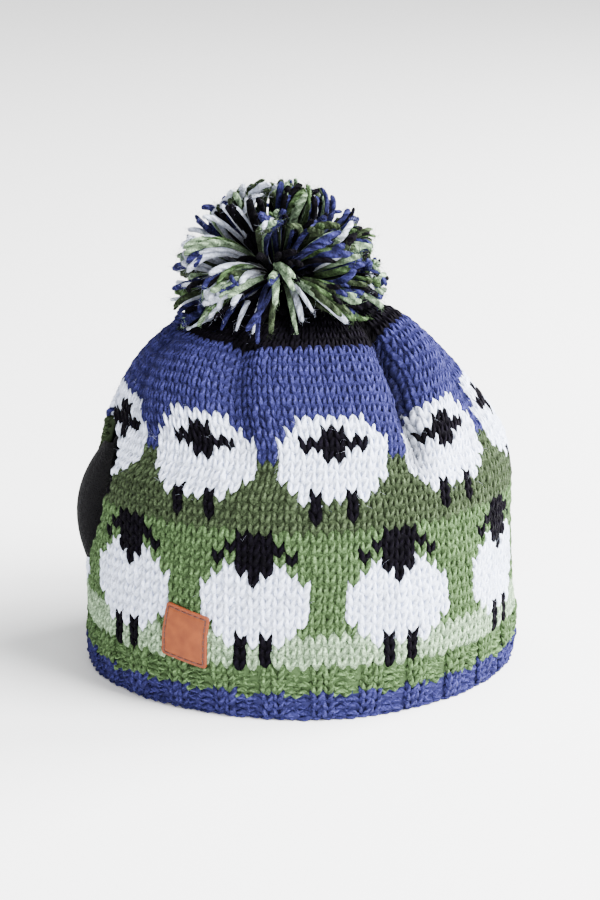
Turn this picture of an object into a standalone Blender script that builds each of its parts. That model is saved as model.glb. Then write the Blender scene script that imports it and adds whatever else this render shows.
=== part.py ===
"""Knitted tea cosy: a one-piece knit body open at the hem, with a spout slit at -X and a
handle slit at +X, a fleece lining, a wool pompom on the crown and a small leather label.

Metres, +Z up. The hem rests on z = 0, and the origin is below the middle of the whole.
"""
import math

import bmesh
import bpy
from mathutils import Quaternion, Vector
from mathutils.bvhtree import BVHTree

# ---- the body's form: height, reach to +X, reach to -X, half depth in Y, plan roundness
FORM = (
    (0.0000, 0.0980, 0.0992, 0.0900, 1.86),
    (0.0080, 0.0990, 0.1000, 0.0910, 1.90),
    (0.0220, 0.0990, 0.1000, 0.0910, 1.97),
    (0.0400, 0.0982, 0.0995, 0.0905, 2.00),
    (0.0660, 0.0972, 0.0980, 0.0895, 2.00),
    (0.0900, 0.0955, 0.0960, 0.0880, 2.00),
    (0.1040, 0.0922, 0.0940, 0.0860, 2.00),
    (0.1160, 0.0855, 0.0910, 0.0820, 2.00),
    (0.1260, 0.0778, 0.0865, 0.0770, 2.00),
    (0.1360, 0.0698, 0.0805, 0.0705, 2.00),
    (0.1460, 0.0617, 0.0725, 0.0625, 2.00),
    (0.1540, 0.0535, 0.0635, 0.0540, 2.00),
    (0.1600, 0.0450, 0.0530, 0.0450, 2.00),
    (0.1640, 0.0365, 0.0420, 0.0360, 2.00),
    (0.1670, 0.0250, 0.0280, 0.0250, 2.00),
    (0.1685, 0.0120, 0.0130, 0.0120, 2.00),
)
CENTRE_X = 0.0020        # the form's axis, set so that the origin is under the whole's middle
STITCHES = 96            # stitches round the body, 48 in each half between the slits
HALF = STITCHES // 2
REPEAT = 12              # stitches in one repeat and in one gore of the crown
FIRST_FOLD = 5           # stitch of the first fold, half a repeat from a gore's middle
KNIT_THICKNESS = 0.0050
INNER_RELIEF = 0.85      # how much of the folds the inner face follows
RIB_TOP = 0.0230         # the 2 x 2 rib ends here
RIB_RELIEF = 0.0009
HEM_ROUND = 0.0012       # how far the hem's outer edge is drawn in at the floor

# ---- slits: height, half width of the hole, how far the cloth beside it is pushed away
SPOUT_SLIT = (
    (0.0370, 0.0000, 0.0000),
    (0.0440, 0.0030, 0.0030),
    (0.0530, 0.0078, 0.0078),
    (0.0620, 0.0140, 0.0140),
    (0.0700, 0.0195, 0.0195),
    (0.0800, 0.0235, 0.0235),
    (0.0920, 0.0258, 0.0258),
    (0.1040, 0.0268, 0.0268),
    (0.1130, 0.0250, 0.0258),
    (0.1185, 0.0190, 0.0240),
    (0.1230, 0.0100, 0.0210),
    (0.1255, 0.0000, 0.0180),
    (0.1350, 0.0000, 0.0110),
    (0.1480, 0.0000, 0.0035),
    (0.1580, 0.0000, 0.0000),
)
HANDLE_SLIT = (
    (0.0400, 0.0000, 0.0000),
    (0.0500, 0.0050, 0.0050),
    (0.0620, 0.0090, 0.0090),
    (0.0800, 0.0110, 0.0110),
    (0.0980, 0.0095, 0.0095),
    (0.1080, 0.0055, 0.0075),
    (0.1130, 0.0000, 0.0060),
    (0.1250, 0.0000, 0.0030),
    (0.1400, 0.0000, 0.0000),
)
BACK_SHARE = 0.62        # the spout slit's back edge moves this share of its front edge
SPOUT_FLOOR, SPOUT_HEAD = 0.0370, 0.1255
HANDLE_FLOOR, HANDLE_HEAD = 0.0400, 0.1130

# ---- rows of the body's mesh, as heights on the form
ROWS = (
    0.0000, 0.0018, 0.0070, 0.0110, 0.0165, 0.0215, 0.0250, 0.0310, 0.0370, 0.0400, 0.0440,
    0.0500, 0.0560, 0.0620, 0.0690, 0.0750, 0.0800, 0.0860, 0.0920, 0.0980, 0.1040, 0.1090,
    0.1130, 0.1185, 0.1230, 0.1255, 0.1295, 0.1335, 0.1380, 0.1430, 0.1480, 0.1530, 0.1575,
    0.1610, 0.1640, 0.1665, 0.1685,
)

# ---- folds of the crown: stitch at its foot, depth, half width in stitches, lowest height,
# ---- and the stitches it wanders per metre of height
FOLDS = (
    (5.0, 0.0022, 2.2, 0.114, 0.0),
    (17.0, 0.0026, 2.0, 0.110, 0.0),
    (31.3, 0.0062, 2.3, 0.108, 5.0),
    (41.0, 0.0026, 2.0, 0.114, 20.0),
    (53.0, 0.0034, 2.2, 0.112, -20.0),
    (65.0, 0.0026, 2.0, 0.114, 0.0),
    (77.0, 0.0040, 2.2, 0.110, 30.0),
    (89.0, 0.0024, 2.2, 0.114, 0.0),
)
FOLD_RISE, FOLD_FALL = 0.030, 0.012    # heights over which a fold grows and dies out
FOLD_END = 0.1660
LOBE_STITCH, LOBE_WIDTH, LOBE_HEIGHT = 37.0, 3.4, 0.0040
LOBE_START, LOBE_RISE, LOBE_END, LOBE_FALL = 0.136, 0.014, 0.169, 0.006

# ---- the crown's wales fan out about this turn, from this height, over this rise
FAN_TURN, FAN_START, FAN_RISE, FAN_AMOUNT = 0.225, 0.112, 0.046, 0.45

# ---- soft unevenness of the cloth: depth, lobes round the body, slant in radians per metre
WAVES = ((0.0008, 3, 40.0), (0.0006, 5, -65.0))
WAVES_RISE = 0.030       # they start at the hem and are full at this height
WAVES_END = 0.1660

# ---- lining
LINING_THICKNESS = 0.0020
LINING_DEPTH = 0.0066    # its middle, measured in from the knit's outer face
LINING_STRIDE = 4        # stitches between two of its lines
LINING_DROP = 0.0058     # how much deeper it hangs under the crown's folds
DROP_START, DROP_RISE = 0.104, 0.012
LINING_OPEN_FLOOR = 0.0495   # the lining is cut open above this, up to the two values below
LINING_SPOUT_HEAD, LINING_HANDLE_HEAD = 0.1135, 0.1045
FLAP_HEAD, FLAP_END = 0.1045, 0.1100   # its last row, and where its swell would end
LINING_ROWS = (
    0.0070, 0.0165, 0.0250, 0.0370, 0.0440, 0.0500, 0.0560, 0.0620, 0.0690, 0.0750, 0.0800,
    0.0860, 0.0920, 0.0980, 0.1040, 0.1090, 0.1130, 0.1185, 0.1255, 0.1295, 0.1335, 0.1380,
    0.1430, 0.1480, 0.1530, 0.1575, 0.1610, 0.1640,
)
LINING_SHOWS = 0.0014    # how far the lining stands past the knit edge into a slit
FLAP_REACH = 0.0125      # how far its back edge turns out through the spout slit

# ---- pompom
POMPOM_CENTRE = (-0.0095, -0.0020, 0.1768)
POMPOM_REACH = (0.0475, 0.0470, 0.0452)
POMPOM_CORE = 0.60       # the core's share of the reach
POMPOM_GAP = 0.0008      # clear of the crown's outer face
DROOP, DROOP_BELOW = 0.0040, 0.30   # how far low locks hang down, and below which rise
LOWEST_LOCK = -0.70      # no lock points down more steeply than this
LOCK_SHORT = 0.90        # the shortest lock's share of the reach
LOCK_SWING = 12.9898     # turns the lengths of neighbouring locks apart
LOCK_INSET = 0.0013      # between a lock's root and the edge of its cell on the core
LOCK_SPREAD = 1.25       # a lock's tip against its root
LOCK_CLEAR = 0.0036      # every lock's tip stays this far above the crown
# the front of the ball parts down to its core along this line, turn from the front and rise
PARTING = ((-41, 38), (-31, 25), (-15, 18), (3, 17), (22, 10))
PARTING_STEPS = 6
PARTING_HALF = math.radians(7.5)    # no lock stands nearer to the line than this
PARTING_LEAN = math.radians(3)    # the locks beside it lean away by this, less further off
PARTING_FADE = math.radians(20)
RAY_TOP = 0.4000         # above the whole

# ---- label
LABEL_WIDTH, LABEL_DEPTH = 0.0208, 0.0256
LABEL_THICKNESS = 0.0014
LABEL_GAP = 0.0004       # between its back and the knit's face
LABEL_STITCH, LABEL_HEIGHT = 13.38, 0.0372
LABEL_TURN = math.radians(6.0)
LABEL_CORNER = 0.0016

WOOL_BLUE = (0.075, 0.095, 0.290, 1.0)
FLEECE_BLACK = (0.010, 0.010, 0.014, 1.0)
WOOL_MIXED = (0.330, 0.400, 0.330, 1.0)
LEATHER_TAN = (0.420, 0.190, 0.110, 1.0)

PLAN_STEPS = 720         # steps in which an outline's length is measured
SLOPE_STEP = 0.0010      # the cloth's slope is read this far above and below
FINE_TOP = 0.1550        # above this the outer face has every second stitch


def clear_scene():
    for obj in list(bpy.data.objects):
        bpy.data.objects.remove(obj, do_unlink=True)


def ramp(value, start, rise):
    """0 below the start, 1 above the start plus the rise, and straight between."""
    return min(max((value - start) / rise, 0.0), 1.0)


def between(table, at):
    """Values of a table at a height, joined by straight lines."""
    if at <= table[0][0]:
        return table[0][1:]
    for low, high in zip(table, table[1:]):
        if at <= high[0]:
            part = (at - low[0]) / (high[0] - low[0])
            return tuple(a + (b - a) * part for a, b in zip(low[1:], high[1:]))
    return table[-1][1:]


def smooth_form(height):
    """The form's values at a height, on a curve through the table's rows."""
    rows = FORM
    if height >= rows[-1][0]:
        return rows[-1][1:]
    i = max(j for j in range(len(rows) - 1) if rows[j][0] <= height)
    part = (height - rows[i][0]) / (rows[i + 1][0] - rows[i][0])
    a, b, c, d = (rows[max(i - 1, 0)], rows[i], rows[i + 1], rows[min(i + 2, len(rows) - 1)])
    values = []
    for v in range(1, 5):
        rise_b = (c[v] - a[v]) / max(c[0] - a[0], 1e-6) * (c[0] - b[0])
        rise_c = (d[v] - b[v]) / max(d[0] - b[0], 1e-6) * (c[0] - b[0])
        t2, t3 = part * part, part * part * part
        values.append((2 * t3 - 3 * t2 + 1) * b[v] + (t3 - 2 * t2 + part) * rise_b
                      + (3 * t2 - 2 * t3) * c[v] + (t3 - t2) * rise_c)
    return tuple(values)


def plan_point(turn, form):
    """A point of the plan outline; turn 0 is -X, a quarter is -Y and a half is +X."""
    right, left, depth, power = form
    c, s = -math.cos(math.tau * turn), -math.sin(math.tau * turn)
    lean = 0.5 * c * (1.5 - 0.5 * c * c)
    width = right * (0.5 + lean) + left * (0.5 - lean)
    reach = (abs(c) ** power + abs(s) ** power) ** (-1.0 / power)
    return CENTRE_X + width * reach * c, depth * reach * s


def plan_lengths(form):
    """Running length of the plan outline from -X, once round."""
    lengths, last = [0.0], plan_point(0.0, form)
    for step in range(1, PLAN_STEPS + 1):
        here = plan_point(step / PLAN_STEPS, form)
        lengths.append(lengths[-1] + math.dist(last, here))
        last = here
    return lengths


def turn_at(lengths, run):
    """The turn at a running length."""
    total = lengths[-1]
    run %= total
    low, high = 0, PLAN_STEPS
    while high - low > 1:
        mid = (low + high) // 2
        low, high = (mid, high) if lengths[mid] <= run else (low, mid)
    return (low + (run - lengths[low]) / max(lengths[high] - lengths[low], 1e-9)) / PLAN_STEPS


def pushed(stitch, hole, push):
    """How far a stitch beside a slit is moved along the row, away from the slit."""
    if push <= 0.0:
        return 0.0
    near = 1.0 - (1.0 - min(hole / push, 1.0)) * math.exp(-stitch / 1.8)
    far = 0.75 * math.exp(-stitch / 8.0) + 0.25 * (1.0 - stitch / HALF)
    return push * near * far


def spread(turn, height):
    """The crown's wales fan out towards the front, where the cloth is pulled flat."""
    amount = FAN_AMOUNT * ramp(height, FAN_START, FAN_RISE)
    angle = math.tau * (turn - FAN_TURN)
    return turn + amount * math.sin(angle) * (1.0 + math.cos(angle)) / (2.0 * math.tau)


class Row:
    """One round of the body at a height, with its plan outline and its slit widths."""

    def __init__(self, height):
        self.height = height
        self.form = smooth_form(height)
        self.lengths = plan_lengths(self.form)
        self.spout = between(SPOUT_SLIT, height)
        self.handle = between(HANDLE_SLIT, height)

    def run(self, stitch):
        """Running length at a stitch: 0 and 96 are the spout slit's two edges."""
        total = self.lengths[-1]
        back = stitch > HALF
        count = STITCHES - stitch if back else stitch
        share = BACK_SHARE if back else 1.0
        run = total * 0.5 * count / HALF
        run += pushed(count, self.spout[0] * share, self.spout[1] * share)
        run -= pushed(HALF - count, *self.handle)
        return total - run if back else run

    def fold(self, stitch):
        """How far the cloth is drawn in by the crown's folds, less its lobe."""
        depth = 0.0
        for foot, deep, half_width, lowest, wander in FOLDS:
            away = abs(stitch - foot - wander * max(self.height - lowest, 0.0))
            away = min(away, STITCHES - away) / half_width
            rise = ramp(self.height, lowest, FOLD_RISE)
            fall = 1.0 - ramp(self.height, FOLD_END - FOLD_FALL, FOLD_FALL)
            depth += deep * math.exp(-away * away) * rise * fall
        lobe = math.exp(-((stitch - LOBE_STITCH) / LOBE_WIDTH) ** 2)
        rise = ramp(self.height, LOBE_START, LOBE_RISE)
        fall = 1.0 - ramp(self.height, LOBE_END - LOBE_FALL, LOBE_FALL)
        return depth - LOBE_HEIGHT * lobe * rise * fall

    def waves(self, stitch):
        """The soft cloth's slight unevenness, none at the hem or the top."""
        angle = math.tau * stitch / STITCHES
        fade = ramp(self.height, 0.0, WAVES_RISE)
        fade *= 1.0 - ramp(self.height, WAVES_END - WAVES_RISE, WAVES_RISE)
        return fade * sum(depth * math.sin(lobes * angle + slant * self.height)
                          for depth, lobes, slant in WAVES)

    def rib(self, stitch):
        """Relief of the 2 x 2 rib: two knit columns stand out, two purl columns lie back."""
        if self.height > RIB_TOP:
            return 0.0
        fade = min((RIB_TOP + 0.001 - self.height) / 0.004, 1.0)
        return RIB_RELIEF * fade * math.cos(math.tau * (stitch - 0.5) / 4.0)

    def point(self, stitch, inwards=0.0, relief=1.0):
        """A point of the cloth's outer face, or one set in from it with shallower folds."""
        turn = spread(turn_at(self.lengths, self.run(stitch)), self.height)
        x, y = plan_point(turn, self.form)
        step = 1e-3
        ax, ay = plan_point(turn - step, self.form)
        bx, by = plan_point(turn + step, self.form)
        tx, ty = bx - ax, by - ay
        size = math.hypot(tx, ty)
        nx, ny = ty / size, -tx / size
        high = min(self.height + SLOPE_STEP, FORM[-1][0] - 0.1 * SLOPE_STEP)
        low = max(min(self.height, high) - SLOPE_STEP, 0.0)
        hx, hy = plan_point(turn, smooth_form(high))
        lx, ly = plan_point(turn, smooth_form(low))
        rise = high - low
        slope = (math.hypot(hx - CENTRE_X, hy) - math.hypot(lx - CENTRE_X, ly)) / rise
        up = -slope / math.hypot(1.0, slope)
        level = 1.0 / math.hypot(1.0, slope)
        out = self.waves(stitch) - relief * self.fold(stitch)
        if relief == 1.0:
            out += self.rib(stitch) - (HEM_ROUND if self.height < 0.001 else 0.0)
        out -= inwards
        z = self.height + out * up
        if self.height <= 0.0:
            z = 0.0
        return x + nx * level * out, y + ny * level * out, z


def material(name, colour, roughness):
    made = bpy.data.materials.new(name)
    made.use_nodes = True
    shader = made.node_tree.nodes["Principled BSDF"]
    shader.inputs["Base Color"].default_value = colour
    shader.inputs["Roughness"].default_value = roughness
    shader.inputs["Metallic"].default_value = 0.0
    made.diffuse_color = colour
    return made


def finish(name, bm, mat):
    """Writes the faces to an object, facing out."""
    bmesh.ops.remove_doubles(bm, verts=bm.verts, dist=1e-6)
    bmesh.ops.recalc_face_normals(bm, faces=bm.faces)
    mesh = bpy.data.meshes.new(name)
    bm.to_mesh(mesh)
    bm.free()
    obj = bpy.data.objects.new(name, mesh)
    bpy.context.scene.collection.objects.link(obj)
    mesh.materials.append(mat)
    return obj


def row_stride(row):
    """The crown's top rounds need only every second stitch."""
    return 2 if row.height > FINE_TOP else 1


def slit_side(height, stitch, floor, head, at):
    """Whether this stitch's vertex is doubled here, because the row crosses a slit."""
    return stitch == at and floor + 1e-6 < height < head - 1e-6


def grid_vertices(bm, rows, stride, place):
    """One vertex per row and stitch, with a second one on the far side of a slit."""
    grid = []
    for row in rows:
        line = {}
        for stitch in range(0, STITCHES, max(stride, row_stride(row))):
            line[stitch] = bm.verts.new(place(row, stitch))
            line[stitch, "far"] = line[stitch]
            if slit_side(row.height, stitch, SPOUT_FLOOR, SPOUT_HEAD, 0):
                line[stitch, "far"] = bm.verts.new(place(row, STITCHES))
            if slit_side(row.height, stitch, HANDLE_FLOOR, HANDLE_HEAD, HALF):
                line[stitch, "far"] = bm.verts.new(place(row, HALF + 1e-4))
        grid.append(line)
    return grid


def span(line, stitch, stride):
    """The two vertices that end one step of a row, on the right sides of the slits."""
    first = line[stitch, "far"] if stitch == HALF else line[stitch]
    after = (stitch + stride) % STITCHES
    second = line[after, "far"] if after == 0 else line[after]
    return first, second


def grid_faces(bm, grid, stride):
    """Faces between rows; where the upper row has half the vertices, one has five sides."""
    for low, high in zip(grid, grid[1:]):
        step = 2 if stride == 1 and 1 not in high else stride
        for stitch in range(0, STITCHES, step):
            a, b = span(low, stitch, step)
            d, c = span(high, stitch, step)
            middle = [low[stitch + 1]] if step != stride and stitch + 1 in low else []
            bm.faces.new([a, *middle, b, c, d])


def build_knit_body(mat):
    """The knit: an outer and an inner face, joined at the hem and round both slits."""
    bm = bmesh.new()
    rows = [Row(h) for h in ROWS]
    outer = grid_vertices(bm, rows, 1, lambda row, k: row.point(k))

    def inside(row, k):
        x, y, z = row.point(k, KNIT_THICKNESS, INNER_RELIEF)
        return (x, y, 0.0) if row.height <= 0.0 else (x, y, max(z, 0.0006))

    inner = grid_vertices(bm, rows, 2, inside)
    grid_faces(bm, outer, 1)
    grid_faces(bm, inner, 2)
    for stitch in range(0, STITCHES, 2):
        after = (stitch + 2) % STITCHES
        bm.faces.new((outer[0][stitch], outer[0][stitch + 1], outer[0][after],
                      inner[0][after], inner[0][stitch]))
    for at, floor, head in ((0, SPOUT_FLOOR, SPOUT_HEAD), (HALF, HANDLE_FLOOR, HANDLE_HEAD)):
        for i in range(len(rows) - 1):
            if rows[i].height < floor - 1e-6 or rows[i + 1].height > head + 1e-6:
                continue
            for side in (at, (at, "far")):
                bm.faces.new((outer[i][side], outer[i + 1][side],
                              inner[i + 1][side], inner[i][side]))
    bm.faces.new([outer[-1][k] for k in range(0, STITCHES, 2)])
    bm.faces.new([inner[-1][k] for k in range(0, STITCHES, 2)])
    return finish("knit_body", bm, mat)


def build_lining(mat):
    """The fleece: one sheet inside the knit, with edges that show in both slits."""
    bm = bmesh.new()
    rows = [Row(h) for h in LINING_ROWS]
    steps = list(range(0, STITCHES, LINING_STRIDE))
    grid = []
    for row in rows:
        line = {}
        drop = LINING_DROP * ramp(row.height, DROP_START, DROP_RISE)
        in_spout = LINING_OPEN_FLOOR < row.height < LINING_SPOUT_HEAD
        in_handle = LINING_OPEN_FLOOR < row.height < LINING_HANDLE_HEAD
        for k in steps:
            line[k] = bm.verts.new(row.point(k, LINING_DEPTH + drop, 0.0))
            line[k, "far"] = line[k]
        if row.spout[0] > 0.0 and not in_spout:
            middle = 0.5 * (row.run(0) + row.run(STITCHES) - row.lengths[-1])
            line[0].co = at_run(row, 0, middle, LINING_DEPTH + drop)
        if row.handle[0] > 0.0 and not in_handle:
            line[HALF].co = at_run(row, HALF, 0.5 * row.lengths[-1], LINING_DEPTH + drop)
        if in_spout:
            bm.verts.remove(line[0])
            line[0] = bm.verts.new(shifted(row, 0, LINING_SHOWS, LINING_DEPTH))
            line[0, "far"] = bm.verts.new(shifted(row, STITCHES, LINING_SHOWS, LINING_DEPTH))
        if in_spout and row.height < FLAP_HEAD:
            swell = math.sin(math.pi * (row.height - SPOUT_FLOOR) / (FLAP_END - SPOUT_FLOOR))
            turn_out = FLAP_REACH * swell
            line[0, "lip"] = bm.verts.new(shifted(row, 0, LINING_SHOWS + 0.0006,
                                                  LINING_DEPTH - 0.0030))
            line[0, "flap"] = bm.verts.new(shifted(row, STITCHES, LINING_SHOWS + 0.0008,
                                                   LINING_DEPTH - turn_out * 0.55))
            line[0, "flap_end"] = bm.verts.new(shifted(row, STITCHES, LINING_SHOWS,
                                                       LINING_DEPTH - turn_out))
        if in_handle:
            bm.verts.remove(line[HALF])
            line[HALF] = bm.verts.new(shifted(row, 48.0, LINING_SHOWS, LINING_DEPTH))
            line[HALF, "far"] = bm.verts.new(shifted(row, 48.0001, LINING_SHOWS, LINING_DEPTH))
        grid.append(line)
    for low, high in zip(grid, grid[1:]):
        for k in steps:
            a, b = span(low, k, LINING_STRIDE)
            d, c = span(high, k, LINING_STRIDE)
            bm.faces.new((a, b, c, d))
        if (0, "flap") in low and (0, "flap") in high:
            bm.faces.new((low[0, "lip"], low[0], high[0], high[0, "lip"]))
            bm.faces.new((low[0, "far"], low[0, "flap"], high[0, "flap"], high[0, "far"]))
            bm.faces.new((low[0, "flap"], low[0, "flap_end"], high[0, "flap_end"],
                          high[0, "flap"]))
    bm.faces.new([grid[-1][k] for k in steps])
    lining = finish("lining", bm, mat)
    solid = lining.modifiers.new("thickness", "SOLIDIFY")
    solid.thickness = LINING_THICKNESS
    solid.offset = 0.0
    solid.use_even_offset = True
    solid.use_rim = True
    return lining


def shifted(row, stitch, along, depth):
    """A point moved along the row from a slit's edge into the slit, set in by a depth."""
    inward = -1.0 if stitch < 1.0 or HALF < stitch < STITCHES - 1 else 1.0
    return at_run(row, stitch, row.run(stitch) + inward * along, depth)


def at_run(row, stitch, run, depth):
    """A point of the row at a running length, set in by a depth."""
    turn = spread(turn_at(row.lengths, run), row.height)
    x, y = plan_point(turn, row.form)
    ax, ay = plan_point(turn - 1e-3, row.form)
    bx, by = plan_point(turn + 1e-3, row.form)
    size = math.hypot(bx - ax, by - ay)
    out = row.waves(stitch) - depth
    return x + (by - ay) / size * out, y - (bx - ax) / size * out, row.height


def parting_ways():
    """Directions from the pompom's middle to points close together along its parting."""
    ways = []
    for turn, rise in PARTING:
        turn, rise = math.radians(turn), math.radians(rise)
        ways.append(Vector((math.sin(turn) * math.cos(rise), -math.cos(turn) * math.cos(rise),
                            math.sin(rise))))
    return [a.slerp(b, i / PARTING_STEPS) for a, b in zip(ways, ways[1:])
            for i in range(PARTING_STEPS + 1)]


def build_pompom(knit, mat):
    """A ball of blunt three-sided locks fused to a core, laid on the crown of the knit."""
    crown = BVHTree.FromPolygons([v.co for v in knit.data.vertices],
                                 [p.vertices for p in knit.data.polygons])

    def seat(point):
        """The lowest place for the pompom over a point: just clear of the crown."""
        hit = crown.ray_cast(Vector((point.x, point.y, RAY_TOP)), Vector((0.0, 0.0, -1.0)))[0]
        return hit.z + POMPOM_GAP if hit else -1.0

    centre, reach = Vector(POMPOM_CENTRE), Vector(POMPOM_REACH)
    bm = bmesh.new()
    bmesh.ops.create_icosphere(bm, subdivisions=3, radius=1.0)
    for vert in bm.verts:
        vert.co = centre + vert.co * POMPOM_CORE * reach
        vert.co.z = max(vert.co.z, seat(vert.co))
    partings = parting_ways()
    locks, tips = [], {}
    for i, face in enumerate(bm.faces):
        out = face.calc_center_median() - centre
        way = Vector([out[axis] / reach[axis] for axis in range(3)]).normalized()
        nearest = max(partings, key=way.dot)
        off = way.angle(nearest) - PARTING_HALF
        lean = PARTING_LEAN * math.exp(-(off / PARTING_FADE) ** 2)
        way.rotate(Quaternion(nearest.cross(way), lean))
        swing = 0.5 + 0.5 * math.sin(LOCK_SWING * i)
        tip = centre + way * reach * (LOCK_SHORT + (1.0 - LOCK_SHORT) * swing)
        tip.z -= DROOP * max(DROOP_BELOW - way.z, 0.0)
        if off > 0 and tip.z > seat(tip) + LOCK_CLEAR and way.z > LOWEST_LOCK:
            locks.append(face)
            tips[face.index] = tip
    order = [tips[face.index] for face in locks]
    bmesh.ops.inset_individual(bm, faces=locks, thickness=LOCK_INSET, depth=0.0)
    made = bmesh.ops.extrude_discrete_faces(bm, faces=locks)
    for face, tip in zip(made["faces"], order):
        middle = face.calc_center_median()
        for vert in face.verts:
            vert.co = tip + (vert.co - middle) * LOCK_SPREAD
    return finish("pompom", bm, mat)


def build_label(mat):
    """A square leather patch that follows the cloth, with rounded corners."""
    bm = bmesh.new()
    cells = 6
    faces = {}
    for layer, height in enumerate((LABEL_GAP, LABEL_GAP + LABEL_THICKNESS)):
        for i in range(cells + 1):
            for j in range(cells + 1):
                u = LABEL_WIDTH * (i / cells - 0.5)
                v = LABEL_DEPTH * (j / cells - 0.5)
                if i % cells == 0 and j % cells == 0:
                    u -= math.copysign(LABEL_CORNER * 0.5, u)
                    v -= math.copysign(LABEL_CORNER * 0.5, v)
                along = u * math.cos(LABEL_TURN) + v * math.sin(LABEL_TURN)
                up = -u * math.sin(LABEL_TURN) + v * math.cos(LABEL_TURN)
                row = Row(LABEL_HEIGHT + up)
                run = row.run(LABEL_STITCH) + along
                turn = turn_at(row.lengths, run)
                x, y = plan_point(turn, row.form)
                ax, ay = plan_point(turn - 1e-3, row.form)
                bx, by = plan_point(turn + 1e-3, row.form)
                size = math.hypot(bx - ax, by - ay)
                out = height + row.waves(LABEL_STITCH + along / (row.lengths[-1] / STITCHES))
                faces[layer, i, j] = bm.verts.new((x + (by - ay) / size * out,
                                                   y - (bx - ax) / size * out, row.height))
    for layer in (0, 1):
        for i in range(cells):
            for j in range(cells):
                bm.faces.new((faces[layer, i, j], faces[layer, i + 1, j],
                              faces[layer, i + 1, j + 1], faces[layer, i, j + 1]))
    rim = ([(i, 0) for i in range(cells)] + [(cells, j) for j in range(cells)]
           + [(i, cells) for i in range(cells, 0, -1)] + [(0, j) for j in range(cells, 0, -1)])
    for (i, j), (m, n) in zip(rim, rim[1:] + rim[:1]):
        bm.faces.new((faces[0, i, j], faces[0, m, n], faces[1, m, n], faces[1, i, j]))
    return finish("label", bm, mat)


clear_scene()
knit_body = build_knit_body(material("wool_knit", WOOL_BLUE, 0.92))
build_lining(material("fleece_black", FLEECE_BLACK, 0.95))
build_pompom(knit_body, material("wool_pompom", WOOL_MIXED, 0.92))
build_label(material("leather_tan", LEATHER_TAN, 0.60))
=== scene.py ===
import math

import bmesh
import bpy
import numpy as np
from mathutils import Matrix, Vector
from mathutils.kdtree import KDTree


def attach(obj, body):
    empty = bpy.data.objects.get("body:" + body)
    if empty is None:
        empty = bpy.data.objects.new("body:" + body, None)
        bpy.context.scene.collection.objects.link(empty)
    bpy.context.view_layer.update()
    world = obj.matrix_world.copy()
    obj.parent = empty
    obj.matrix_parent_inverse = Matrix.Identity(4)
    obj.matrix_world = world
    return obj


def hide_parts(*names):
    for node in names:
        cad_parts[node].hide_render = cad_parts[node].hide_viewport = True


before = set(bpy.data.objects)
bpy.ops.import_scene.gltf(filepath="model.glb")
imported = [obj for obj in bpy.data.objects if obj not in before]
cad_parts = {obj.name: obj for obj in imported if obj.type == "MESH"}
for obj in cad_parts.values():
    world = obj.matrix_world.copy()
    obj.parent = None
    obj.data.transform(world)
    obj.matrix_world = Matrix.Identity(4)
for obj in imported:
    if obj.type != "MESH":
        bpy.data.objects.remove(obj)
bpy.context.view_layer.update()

# ---- The cloth's form
# The cosy is knitted as one tube of aran wool, split for the spout and the handle, and drawn
# in at the crown by decreases that pull it into folds. Over a teapot it takes this form:
# height, reach to +X, to -X and to the front, and how square the plan is.
FORM = np.array((
    (0.0000, 0.0980, 0.0992, 0.0900, 1.86), (0.0080, 0.0990, 0.1000, 0.0910, 1.90),
    (0.0220, 0.0990, 0.1000, 0.0910, 1.97), (0.0400, 0.0982, 0.0995, 0.0905, 2.00),
    (0.0660, 0.0972, 0.0980, 0.0895, 2.00), (0.0900, 0.0955, 0.0960, 0.0880, 2.00),
    (0.1040, 0.0922, 0.0940, 0.0860, 2.00), (0.1160, 0.0855, 0.0910, 0.0820, 2.00),
    (0.1260, 0.0778, 0.0865, 0.0770, 2.00), (0.1360, 0.0698, 0.0805, 0.0705, 2.00),
    (0.1460, 0.0617, 0.0725, 0.0625, 2.00), (0.1540, 0.0535, 0.0635, 0.0540, 2.00),
    (0.1600, 0.0450, 0.0530, 0.0450, 2.00), (0.1640, 0.0365, 0.0420, 0.0360, 2.00),
    (0.1670, 0.0250, 0.0280, 0.0250, 2.00), (0.1685, 0.0120, 0.0130, 0.0120, 2.00)))
CENTRE_X, CLOTH_TOP = 0.0020, 0.1685
# places round the body are counted in 96ths, from the spout slit at 0 to the handle slit at 48
ROUND, HALF = 96.0, 48.0
# height, half width of the hole, how far the cloth beside it is pushed away
SPOUT_SLIT = np.array((
    (0.0370, 0.0000, 0.0000), (0.0440, 0.0030, 0.0030), (0.0530, 0.0078, 0.0078),
    (0.0620, 0.0140, 0.0140), (0.0700, 0.0195, 0.0195), (0.0800, 0.0235, 0.0235),
    (0.0920, 0.0258, 0.0258), (0.1040, 0.0268, 0.0268), (0.1130, 0.0250, 0.0258),
    (0.1185, 0.0190, 0.0240), (0.1230, 0.0100, 0.0210), (0.1255, 0.0000, 0.0180),
    (0.1350, 0.0000, 0.0110), (0.1480, 0.0000, 0.0035), (0.1580, 0.0000, 0.0000)))
HANDLE_SLIT = np.array((
    (0.0400, 0.0000, 0.0000), (0.0500, 0.0050, 0.0050), (0.0620, 0.0090, 0.0090),
    (0.0800, 0.0110, 0.0110), (0.0980, 0.0095, 0.0095), (0.1080, 0.0055, 0.0075),
    (0.1130, 0.0000, 0.0060), (0.1250, 0.0000, 0.0030), (0.1400, 0.0000, 0.0000)))
BACK_SHARE = 0.62        # the spout slit's back edge moves this share of its front edge
# the push is strongest within a few places of the slit and dies out towards the other one
EDGE_PLACES, PUSH_PLACES, PUSH_NEAR = 1.8, 8.0, 0.75
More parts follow.
